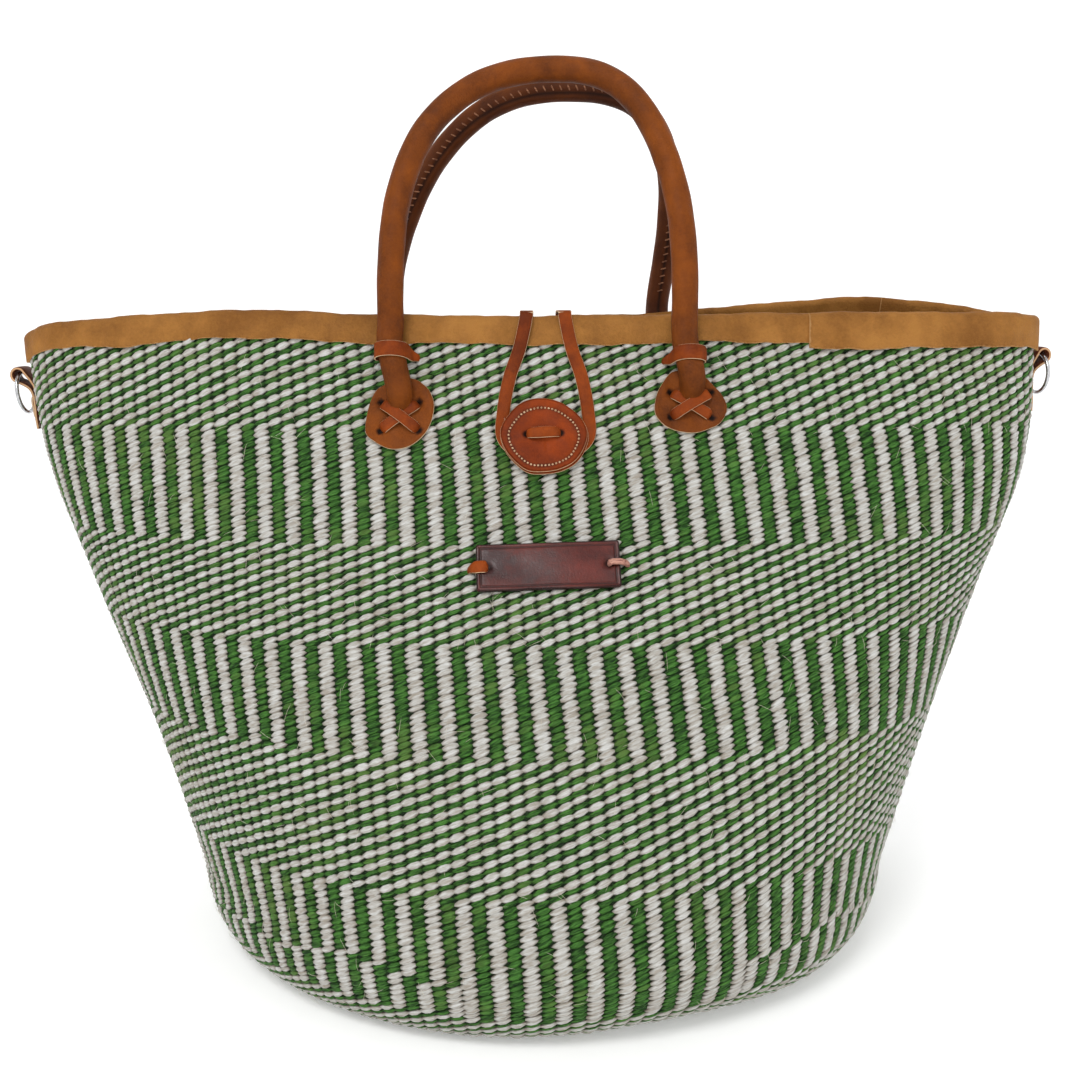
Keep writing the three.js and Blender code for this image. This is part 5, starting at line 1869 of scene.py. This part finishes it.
    def build(self, shop: Workshop) -> None:
        """Makes the leather and rope, and the fixed pieces at both ends.

        Args:
            shop: Where pieces are dressed.
        """
        body = f"{self.name}_handle"
        start, end = ((0.0, 0.0, (self.hinge + way * self.bend_zone) * MM) for way in (-1, 1))
        left, right = f"{self.name}_left", f"{self.name}_right"
        nodes = [f"{body}_grip", f"{left}_handle_end", f"{right}_handle_end"]
        leather = shop.piece(self.leather(), f"{body}_leather", "handle_leather", *nodes)
        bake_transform(leather)
        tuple(start)
        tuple(end)
        nodes = [f"{body}_rope", f"{left}_leg_rope", f"{right}_leg_rope"]
        rope = shop.piece(self.rope(), f"{body}_core", "rope", *nodes)
        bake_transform(rope)
        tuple(start)
        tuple(end)
        shop.riding(self.seam_thread(), f"{body}_stitching", "seam_thread", body)
        legs = ((left, self.left_x, LEFT_PADDLE), (right, self.right_x, RIGHT_PADDLE))
        for (leg, x, paddle), over_strip in zip(legs, self.over_strips):
            lace = self.cross_lace(x, paddle, over_strip)
            shop.riding(lace, f"{leg}_lace", "lace_leather", "basket", f"{leg}_tab_lace")
            shop.riding(self.keeper(x, paddle), f"{leg}_band", "lace_leather", "basket", f"{leg}_keeper")
            patch = self.patch(x, paddle)
            shop.riding(patch, f"{leg}_patch", "binding_leather", "basket", f"{leg}_backing_patch")


FRONT_HANDLE = Handle("front", Side.FRONT, -67.6, 68.2, 109.2, 2.46, 8.0, 6.0, (0, 1))
REAR_HANDLE = Handle("rear", Side.REAR, -80.5, 65.2, 107.4, 2.6, 24.0, 1.25, (1, 0))


# Button, its lace and the closure loop


@dataclass
class Button:
    """Two stitched layers of thick leather on the wall, and the lace through their two holes."""

    x: float = 3.0
    drop: float = 53.0
    width: float = 40.0
    height: float = 35.0
    leather: float = 2.0
    hole_spread: float = 14.3
    lace_width: float = 5.0
    lace_crown: float = 1.2
    loop_leather: float = 1.4
    stitch_inset: float = 3.9
    stitch_shift: float = -1.1
    stitch_count: int = 56
    outline: Pairs = (
        (1, 0.05), (0.88, 0.42), (0.62, 0.72), (0.3, 0.93), (-0.12, 1), (-0.5, 0.88), (-0.8, 0.55),
        (-0.99, 0.1), (-0.9, -0.35), (-0.66, -0.72), (-0.36, -0.97), (-0.02, -1), (0.36, -0.93),
        (0.7, -0.72), (0.92, -0.36),
    )

    def __post_init__(self) -> None:
        """Finds the button's plane and outline."""
        self.plane = FlatFrame(self.x, self.drop, Side.FRONT)
        half = np.array([self.width / 2, self.height / 2])
        self.edge = smooth_outline(self.outline, 72) * half
        self.lift = SEAT_GAP + self.loop_leather + 2 * SEAT_GAP
        self.holes = [(-self.hole_spread / 2, 0.0), (self.hole_spread / 2, 0.6)]

    def relief(self, u: Array, v: Array) -> Array:
        """The face's crown, its dimples at the two holes and a crease below the bar.

        Args:
            u: Sideways places from the middle.
            v: Upward places from it.

        Returns:
            The height added at each place.
        """
        far = np.hypot(u / (self.width / 2), v / (self.height / 2))
        crown = 0.9 * (1 - np.clip(far, 0, 1) ** 2)
        dimples = sum(np.exp(-((u - a) ** 2 + (v - b) ** 2) / 3.6) for a, b in self.holes)
        below = np.clip(-v / 4, 0, 1) * np.clip(2 + v / 7, 0, 1)
        crease = -0.35 * np.exp(-((u - 0.8 + 0.1 * v) / 0.5) ** 2) * below
        return crown - 1.1 * dimples + crease + 0.2 * np.sin(u * 0.4 + v * 0.6)

    def stitch_line(self) -> Array:
        """The closed line of the stitching, drawn in from the edge and a little low: rows of u and v.

        Returns:
            The line.
        """
        ring = self.edge * (1 - self.stitch_inset / np.array([self.width / 2, self.height / 2]))
        rows = np.column_stack([ring, np.zeros(len(ring))])
        length = np.linalg.norm(np.diff(np.concatenate([rows, rows[:1]]), axis=0), axis=1).sum()
        even = smooth_line(rows, length / self.stitch_count, closed=True)[:, :2]
        return even + np.array([0.0, self.stitch_shift])

    def face(self) -> Form:
        """The upper layer with its crown, dimples and crease.

        Returns:
            The closed form, with painted shade in the holes and darkened along the stitching.
        """
        low = self.lift + self.leather + SEAT_GAP * 0.4
        form = plate(self.plane.at, self.edge, low, self.leather, self.relief, 0.55, 34)
        uv = self.plane.flat(form.points)
        # Painted shade in the lace's two holes
        pit = sum(np.exp(-(((uv - 1.1 * np.array(hole)) ** 2).sum(-1) / 3.4) ** 3) for hole in self.holes)
        away = np.linalg.norm(uv[:, None] - self.stitch_line()[None], axis=-1).min(1)
        on_face = form.values["inset"] > 0.5
        form.set("pit", np.clip(pit, 0, 1) * on_face)
        return form.set("burnt", 0.7 * np.exp(-((away / 0.9) ** 2)) * on_face)

    def back(self) -> Form:
        """The lower layer, a little wider at the lower right, where its pale edge shows."""
        shifted = self.edge * 1.015 + np.array([0.35, -0.35])
        return plate(self.plane.at, shifted, self.lift, self.leather, None, 0.5, 5)

    def stitching(self) -> Form:
        """Cream thread stitches along the stitch line, each a little slanted.

        Returns:
            The stitches.
        """
        even = self.stitch_line()
        along = np.roll(even, -1, 0) - np.roll(even, 1, 0)
        length = np.linalg.norm(along, axis=1).mean() / 2 * 0.6
        _, across, up = self.plane.axes()
        along = along + 0.16 * np.stack([-along[:, 1], along[:, 0]], -1)
        way = along[:, :1] * across + along[:, 1:] * up
        top = self.lift + 2 * self.leather + SEAT_GAP * 0.4
        height = top + self.relief(even[:, 0], even[:, 1]) + 0.1
        centres = self.plane.at(even[:, 0], even[:, 1], height)
        return beads(centres, way, np.broadcast_to(np.cross(across, up), way.shape), length, 0.9, 0.8)

    def lace(self) -> Form:
        """The lace's loop: a bar between the two holes in front, and its return inside the wall.

        Returns:
            The closed strip.
        """
        up = self.plane.axes()[2]
        outside = self.lift + 2 * self.leather + 1.6 + LACE.leather / 2
        inside = -SHELL.wall - SEAT_GAP - LACE.leather / 2
        half = self.hole_spread / 2
        rows = [
            (-half, 0, inside, LACE.neck), (-half, 0, outside - 2.2, 3.4), (-half + 1.0, 0, outside, 4.4),
            (-half / 2, 0.1, outside + self.lace_crown * 0.7, self.lace_width),
            (half / 2, 0.5, outside + self.lace_crown * 0.7, self.lace_width),
            (half - 1.0, 0.6, outside, 4.4), (half, 0.6, outside - 2.2, 3.4), (half, 0, inside, LACE.neck),
        ]
        stops = [stop(self.plane.at(u, v, h), up, width) for u, v, h, width in rows]
        return strap(stops, LACE.leather + 0.3, 0.7, closed=True)

    def build(self, shop: Workshop) -> None:
        """Makes both layers and their stitching, which turn together, and the lace.

        Args:
            shop: Where pieces are dressed.
        """
        shop.riding(self.face(), "button_upper", "tab_leather", "button", "button_face")
        shop.riding(self.back(), "button_lower", "tab_leather", "button", "button_back")
        shop.riding(self.stitching(), "button_stitching", "stitch_thread", "button")
        shop.riding(self.lace(), "button_tie", "lace_leather", "basket", "button_lace")


@dataclass
class ClosureLoop:
    """One narrow strap from the rear wall over the mouth, bowed round the button's lace in front."""

    width: float = 6.1
    leather: float = 1.4
    x: float = 4.0
    half_spread: float = 9.0
    hole_drop: float = 19.0
    half_bow: float = 20.5
    left_draw: float = 2.0
    bow_drop: float = 41.0
    bight_drop: float = 62.5
    bow_start: float = 0.3
    bow_bend: float = 0.72
    bow_bend_drop: float = 0.62
    bight_bend: float = 0.62
    button_x: float = 3.0
    button_drop: float = 53.0
    zone_mm: float = 1.2
    zone_tilt: float = math.radians(30)

    def beside(self, x: float, z: float, side: Side) -> Array:
        """A point beside the binding, level out from the wall's face."""
        out = BINDING_OUT + SEAT_GAP + self.leather / 2
        return SHELL.face_point(x, z, side) + np.array([0, side.value * out, 0])

    def top(self, x: float, side: Side) -> Array:
        """The strap's middle over the binding's top, at the hinge.

        Args:
            x: The strap's sideways place.
            side: Which rim.

        Returns:
            The point.
        """
        point = self.beside(x, SHELL.rim_height, side)
        rise = SEAT_GAP + BINDING_LEATHER + SEAT_GAP + self.leather / 2
        point[2] = SHELL.edge_height(x, side) + rise
        return point

    def over(self, way: int) -> Form:
        """One strand from inside the rear wall, up its face, over the mouth and to the front bend.

        Args:
            way: -1 for the left strand, 1 for the right.

        Returns:
            The strip.
        """
        x = self.x + way * self.half_spread
        across = np.array([1.0, 0, 0])
        place = WallFrame(x, self.hole_drop, Side.REAR)
        rear, front = self.top(x, Side.REAR), self.top(x, Side.FRONT)
        rows = [
            stop(place.at(0, 0, -SHELL.wall - 1.2), across, LACE.neck),
            stop(place.at(0, 0, SEAT_GAP + self.leather / 2), across, 4.0),
            stop(self.beside(x, SHELL.rim_height - BINDING_DROP, Side.REAR), across, self.width),
            stop(self.beside(x, SHELL.rim_height - 2, Side.REAR), across, self.width),
            stop(rear + np.array([0, -1.2, 0.1]), across, self.width),
        ]
        for share in (0.2, 0.4, 0.6, 0.8):
            point = rear + (front - rear) * share
            point[2] += 0.9 * math.sin(math.pi * share)
            rows.append(stop(point, across, self.width))
        rows.append(stop(front + np.array([0, 1.6, 0.15]), across, self.width))
        rows.append(stop(front + np.array([0, 0.4, -0.1]), across, self.width))
        return strap(rows, self.leather, 1.0, curl=0.25)

    def laid(self, x: float, drop: float, lift: float = 0.0) -> Array:
        """A point of the strap's middle where it lies on the front wall, or lifted off it."""
        return WallFrame(x, drop, Side.FRONT).at(0, 0, SEAT_GAP + self.leather / 2 + lift)

    def half_bight(self, way: int) -> list[Array]:
        """Half of the looped end's middle line, from the front bend down to beside its lowest point.

        Args:
            way: -1 for the left half, 1 for the right.

        Returns:
            The points.
        """
        x = self.x + way * self.half_spread
        half_bow = self.half_bow - (self.left_draw if way < 0 else 0.0)
        bow_x = self.button_x + way * half_bow
        top = self.top(x, Side.FRONT)
        bend_x, bend_drop = x + (bow_x - x) * self.bow_bend, self.bow_drop * self.bow_bend_drop
        return [
            top + np.array([0, 0.9, 0.05]),
            top + np.array([0, -0.4, -1.3]),
            self.beside(x + (bow_x - x) * self.bow_start, SHELL.rim_height - BINDING_DROP, Side.FRONT),
            self.laid(bend_x, bend_drop, BINDING_OUT / 2),
            self.laid(bow_x, self.bow_drop),
            self.laid(bow_x, self.button_drop),
            self.laid(self.button_x + way * half_bow * self.bight_bend, self.bight_drop - self.width / 2),
        ]

    def bight(self) -> Form:
        """The strap's looped end: down from the front bend, bowed out and round behind the button.

        Returns:
            The strip.
        """
        lowest = self.laid(self.button_x, self.bight_drop)
        line = np.array([*self.half_bight(-1), lowest, *self.half_bight(1)[::-1]])
        along = unit(np.gradient(line, axis=0))
        out = SHELL.face_normal(line[:, 0], np.minimum(line[:, 2], SHELL.rim_height), Side.FRONT)
        across = np.cross(along, out)
        across[[0, -1]] = across[[1, -2]]
        return strap([stop(p, c, self.width) for p, c in zip(line, across)], self.leather, 1.0, curl=0.2)

    def build(self, shop: Workshop) -> None:
        """Makes the strands over the mouth and the looped end.

        Args:
            shop: Where pieces are dressed.
        """
        rear = self.top(self.x, Side.REAR) * MM
        nodes = [f"closure_loop_{part}" for part in ("anchor", "left_run", "right_run")]
        over = shop.piece(joined([self.over(-1), self.over(1)]), "closure_strands", "lace_leather", *nodes)
        zone = self.zone_mm * MM
        inward, up = zone * math.cos(self.zone_tilt), zone * math.sin(self.zone_tilt)
        start, end = (0, rear[1] + inward, rear[2] - up), (0, rear[1] - inward, rear[2] + up)
        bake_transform(over)
        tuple(start)
        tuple(end)
        front = self.top(self.x, Side.FRONT) * MM
        bight = shop.piece(self.bight(), "closure_end", "lace_leather", "closure_loop_bight")
        start, end = (0, 0, front[2] + 0.1 * zone), (0, 0, front[2] - zone)
        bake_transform(bight)
        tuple(start)
        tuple(end)


# The bare name plate and its ties


@dataclass
class NamePlate:
    """A small dark leather plate, left bare inside its embossed border, tied at both ends."""

    x: float = 5.0
    drop: float = 108.0
    width: float = 64.0
    height: float = 22.5
    leather: float = 2.6
    tilt: float = math.radians(2.2)
    hole_inset: float = 5.0
    tie_reach: float = 3.4
    border_inset: float = 2.0
    corner: float = 1.2
    outline_step: float = 0.9

    def __post_init__(self) -> None:
        """Sets the plate's frame on the wall."""
        self.place = WallFrame(self.x, self.drop, Side.FRONT, self.tilt)

    def outline(self) -> Array:
        """A rectangle with quarter circles at its corners, its long sides filled in at even steps.

        Returns:
            Rows of u and v.
        """
        half = np.array([self.width / 2, self.height / 2]) - self.corner
        parts = []
        for k, signs in enumerate(((1, 1), (-1, 1), (-1, -1), (1, -1))):
            turn = np.linspace(0, math.pi / 2, 7) + k * math.pi / 2
            parts.append(half * signs + self.corner * np.stack([np.cos(turn), np.sin(turn)], -1))
        ring = np.concatenate(parts)
        filled = []
        for here, step in zip(ring, np.roll(ring, -1, 0) - ring):
            count = max(2, int(np.linalg.norm(step) / self.outline_step))
            filled.append(here + step * np.linspace(0, 1, count, endpoint=False)[:, None])
        return np.concatenate(filled)

    def relief(self, u: Array, v: Array) -> Array:
        """The pressed border line, slight buckles, and dimples at the tie holes.

        Args:
            u: Sideways places from the middle.
            v: Upward places from it.

        Returns:
            The height added at each place.
        """
        edge_gap = np.minimum(self.width / 2 - np.abs(u), self.height / 2 - np.abs(v))
        border = -0.35 * np.exp(-((edge_gap - self.border_inset) / 0.35) ** 2)
        buckle = 0.18 * np.sin(u * 0.16 + 0.6) + 0.1 * np.sin(u * 0.07 + v * 0.3)
        hole = self.width / 2 - self.hole_inset
        dimples = sum(np.exp(-((u - way * hole) ** 2 + v ** 2) / 3.0) for way in (-1, 1))
        return border + buckle - 1.2 * dimples

    def form(self) -> Form:
        """The plate itself, with burnished edges, a dark border line and painted shade in the tie holes.

        Returns:
            The closed form.
        """
        form = plate(self.place.at, self.outline(), SEAT_GAP, self.leather, self.relief, 0.7, 36)
        u, v = self.place.flat(form.points).T
        edge_gap = np.minimum(self.width / 2 - np.abs(u), self.height / 2 - np.abs(v))
        line = np.exp(-((edge_gap - self.border_inset) / 0.4) ** 2) * 0.75
        burnt = np.clip(1.2 - edge_gap / 0.75, 0, 1)
        # Painted shade in the tie holes
        hole = self.width / 2 - self.hole_inset
        far = [((u - way * hole) / 2.0) ** 2 + (v / tall) ** 2 for way, tall in ((-1, 1.6), (1, 2.2))]
        pit = sum(np.exp(-(reach ** 2)) for reach in far)
        form.set("raw", 0.0).set("pit", np.clip(pit, 0, 1))
        return form.set("burnt", np.clip(np.maximum(line, burnt), 0, 1))

    def tie(self, way: int, width: float, thick: float, curl: float) -> Form:
        """A tie from the plate's hole over its end and back through the wall beside it.

        Args:
            way: -1 for the left end, 1 for the right.
            width: The tie's width.
            thick: Its thickness.
            curl: How far its sides rise over its middle.

        Returns:
            The closed strip.
        """
        hole = way * (self.width / 2 - self.hole_inset)
        beside = way * (self.width / 2 + self.tie_reach)
        top = SEAT_GAP + self.leather + SEAT_GAP + thick / 2
        inside = -SHELL.wall - SEAT_GAP - thick / 2
        neck = min(width, LACE.neck)
        across = self.place.way(hole, 0, 0, 1)
        rows = [
            (hole, inside, neck), (hole, 1.0, neck), (hole + way * 0.9, top, width),
            (hole + way * 2.8, top + 0.25, width), (way * (self.width / 2 + 0.4), top - 0.3, width),
            (beside, 0.3, neck), (beside, inside, neck),
        ]
        stops = [stop(self.place.at(u, 0, h), across, w) for u, h, w in rows]
        return strap(stops, thick, 0.6, closed=True, curl=curl)

    def build(self, shop: Workshop) -> None:
        """Makes the plate and its two ties.

        Args:
            shop: Where pieces are dressed.
        """
        shop.riding(self.form(), "plate_leaf", "plate_leather", "basket", "name_plate")
        left, right = self.tie(-1, 5.6, 1.3, 0.3), self.tie(1, 2.6, 1.8, 0.0)
        shop.riding(left, "plate_tie_left", "lace_leather", "basket", "name_plate_left_tie")
        shop.riding(right, "plate_tie_right", "twine", "basket", "name_plate_right_tie")


# Ring tabs and rings


@dataclass
class RingTab:
    """A strap folded round a wire ring at one end of the mouth, laced to the wall."""

    name: str
    angle: float
    drop: float
    width: float = 12.0
    leather: float = 1.6
    length: float = 28.0
    short_layer: float = 13.0
    eye_radius: float = 2.6
    eye_offset: float = 8.4
    lace_foot: float = 4.5
    lace_head: float = 16.5
    ring_radius: float = 10.0
    wire_radius: float = 1.0
    ring_set: float = 1.0

    def __post_init__(self) -> None:
        """Finds the tab's foot and its directions up, across and out."""
        angle, low = np.array(self.angle), SHELL.rim_height - self.drop
        self.foot = SHELL.point(angle, low)
        level = SHELL.level_normal(*self.foot[:2], SHELL.section(self.foot[2], angle))
        self.up = unit(SHELL.point(angle, low + self.length) - self.foot)
        self.across = unit(np.cross(self.up, level))
        self.out = np.cross(self.across, self.up)

    def at(self, h: float, v: float) -> Array:
        """The point h out of the wall and v up from the foot."""
        return self.foot + self.out * h + self.up * v

    def folded(self) -> Form:
        """The strap: a short layer up the wall, round the ring and down again over it.

        Returns:
            The strip.
        """
        inner = SEAT_GAP + self.leather / 2
        outer = inner + self.leather + SEAT_GAP
        bend = self.eye_radius + self.leather / 2
        line = [(inner, self.short_layer), (inner, self.length - 2 * bend)]
        for degrees in range(165, -76, -30):
            turn = math.radians(degrees)
            line.append((self.eye_offset + bend * math.cos(turn), self.length + bend * math.sin(turn)))
        line += [(outer, self.length - 2 * bend - self.leather), (outer, self.lace_foot), (outer, 0.0)]
        rows = [stop(self.at(h, v), self.across, self.width) for h, v in line]
        return strap(rows, self.leather, 0.9)

    def lace(self) -> Form:
        """The lace through strap and wall, foot to head.

        Returns:
            The closed strip.
        """
        outside = 2 * self.leather + 2 * SEAT_GAP + SEAT_GAP + LACE.leather / 2
        inside = -SHELL.wall - SEAT_GAP - LACE.leather / 2
        middle = (self.lace_foot + self.lace_head) / 2
        rows = [
            (inside, self.lace_foot, 2.4), (outside - 0.3, self.lace_foot + 0.2, 3.2),
            (outside + 0.4, middle, 4.2), (outside - 0.3, self.lace_head - 0.2, 3.2),
            (inside, self.lace_head, 2.4), (inside, middle, 3.8),
        ]
        stops = [stop(self.at(h, v), self.across, w) for h, v, w in rows]
        return strap(stops, LACE.leather, 0.7, closed=True)

    def ring(self) -> Form:
        """The wire ring: a small circle carried round a larger one, upright along the wall.

        Returns:
            The closed form.
        """
        centre = self.at(self.eye_offset, self.length + self.ring_set - self.ring_radius)
        turn = np.arange(56) / 56 * TURN
        away = self.across * np.cos(turn)[:, None] + self.up * np.sin(turn)[:, None]
        axis = np.cross(self.across, self.up)
        small = np.arange(14) / 14 * TURN
        reach = self.ring_radius + self.wire_radius * np.cos(small)
        rings = centre + away[:, None] * reach[:, None] + axis * (self.wire_radius * np.sin(small))[:, None]
        return skin(rings, closed=True)

    def build(self, shop: Workshop) -> None:
        """Makes the folded strap, its lace and the ring, which swings in the strap's eye.

        Args:
            shop: Where pieces are dressed.
        """
        ring = f"{self.name}_ring"
        shop.riding(self.folded(), f"{ring}_strap", "strap_leather", "basket", f"{ring}_tab")
        shop.riding(self.lace(), f"{ring}_lace", "lace_leather", "basket", f"{ring}_tab_lace")
        shop.riding(self.ring(), f"{ring}_wire", "steel", f"{ring}_body", ring)


# Studio


@dataclass
class Studio:
    """The camera at the photograph's angle, a pale floor that curves up behind, and soft lights."""

    camera_y: float = -0.703
    camera_z: float = 0.303
    pitch_down: float = 8.97
    lens: float = 46.0
    optical_centre_px: float = 537.0
    image_px: float = 1080.0
    glow: float = 0.25
    air: float = 0.34

    def camera(self) -> None:
        """Places the camera level with the rim, looking slightly down."""
        data = bpy.data.cameras.new("photo_camera")
        data.lens = self.lens
        data.sensor_width = 36.0
        data.shift_x = (self.image_px / 2 - self.optical_centre_px) / self.image_px
        data.clip_start, data.clip_end = 0.01, 20.0
        made = bpy.data.objects.new("photo_camera", data)
        made.location = (0.0, self.camera_y, self.camera_z)
        made.rotation_euler = (math.radians(90 - self.pitch_down), 0.0, 0.0)
        bpy.context.scene.collection.objects.link(made)
        bpy.context.scene.camera = made

    def floor(self) -> None:
        """A round floor that turns up into a wall on all sides: a profile carried round the upright axis."""
        turn = np.linspace(0, math.pi / 2, 13)
        flat, radius = 2600.0, 800.0
        reach = np.concatenate([[1.0, flat * 0.5], flat + radius * np.sin(turn), [flat + radius]])
        height = np.concatenate([[0.0, 0.0], radius * (1 - np.cos(turn)), [3600.0]]) - 0.8
        around = np.arange(96) / 96 * TURN
        across, deep = reach[:, None] * np.cos(around), reach[:, None] * np.sin(around)
        grid = np.stack(np.broadcast_arrays(across, deep, height[:, None]), -1)
        rows, columns = grid.shape[:2]
        at = np.arange(rows * columns).reshape(rows, columns)
        beside = np.roll(at, -1, 1)
        quads = np.stack([at[:-1], beside[:-1], beside[1:], at[1:]], -1).reshape(-1, 4)[:, ::-1]
        mesh = Form(grid.reshape(-1, 3), quads, np.zeros((0, 3), int)).mesh("studio_floor")
        bench = MaterialBench("studio_paper")
        color = bench.mix(bench.noise(bench.place(), 3.0), (0.93, 0.93, 0.93, 1), (0.96, 0.96, 0.96, 1))
        bench.feed(bench.shader, {"Base Color": color, "Roughness": 0.9, "Specular IOR Level": 0.1})
        bench.feed(bench.shader, {"Emission Color": (1.0, 1.0, 1.0, 1.0), "Emission Strength": self.glow})
        mesh.materials.append(bench.material)
        made = bpy.data.objects.new("studio_floor", mesh)
        bpy.context.scene.collection.objects.link(made)
        made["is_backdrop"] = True

    def light(self, name: str, place: Point, target: Point, size: float, power: float) -> None:
        """An area light at a place, aimed at a target.

        Args:
            name: The light's name.
            place: Where it stands.
            target: What it is aimed at.
            size: Its width.
            power: Its power.
        """
        data = bpy.data.lights.new(name, "AREA")
        data.shape = "DISK"
        data.size = size
        data.energy = power
        made = bpy.data.objects.new(name, data)
        way = np.array(target) - np.array(place)
        flat = math.hypot(way[0], way[1])
        made.location = place
        made.rotation_euler = (math.atan2(flat, -way[2]), 0.0, math.atan2(way[1], way[0]) - math.pi / 2)
        bpy.context.scene.collection.objects.link(made)

    def build(self) -> None:
        """Sets camera, floor, world and lights."""
        scene = bpy.context.scene
        scene.view_settings.view_transform = "Standard"
        self.camera()
        self.floor()
        world = bpy.data.worlds.new("studio_air")
        world.use_nodes = True
        air = world.node_tree.nodes["Background"]
        air.inputs["Color"].default_value = (1.0, 1.0, 1.0, 1.0)
        air.inputs["Strength"].default_value = self.air
        scene.world = world
        aim = (0.0, 0.0, 0.2)
        self.light("key", (-0.45, -1.6, 1.9), aim, 0.9, 25.0)
        self.light("fill", (1.6, -1.2, 0.7), aim, 1.4, 3.3)
        self.light("over", (0.1, 0.5, 2.1), aim, 1.6, 8.4)


def main() -> None:
    """Builds the basket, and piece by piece."""
    logging.basicConfig(level=logging.INFO, format="%(name)s %(message)s")
    Studio().build()
    shop = Workshop()
    makers = [
        Weave(), Binding(), FRONT_HANDLE, REAR_HANDLE, Button(), ClosureLoop(), NamePlate(),
        RingTab("left", math.radians(178.5), 53.0), RingTab("right", math.radians(5), 44.5),
    ]
    for maker in makers:
        LOG.info("making %s", type(maker).__name__)
        maker.build(shop)
    boxes = {"cad": CAD_BOX, "visual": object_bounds()}
    {key: [[float(c) for c in corner] for corner in box] for key, box in boxes.items()}
    LOG.info("boxes %s", boxes)


if __name__ == "__main__":
    main()
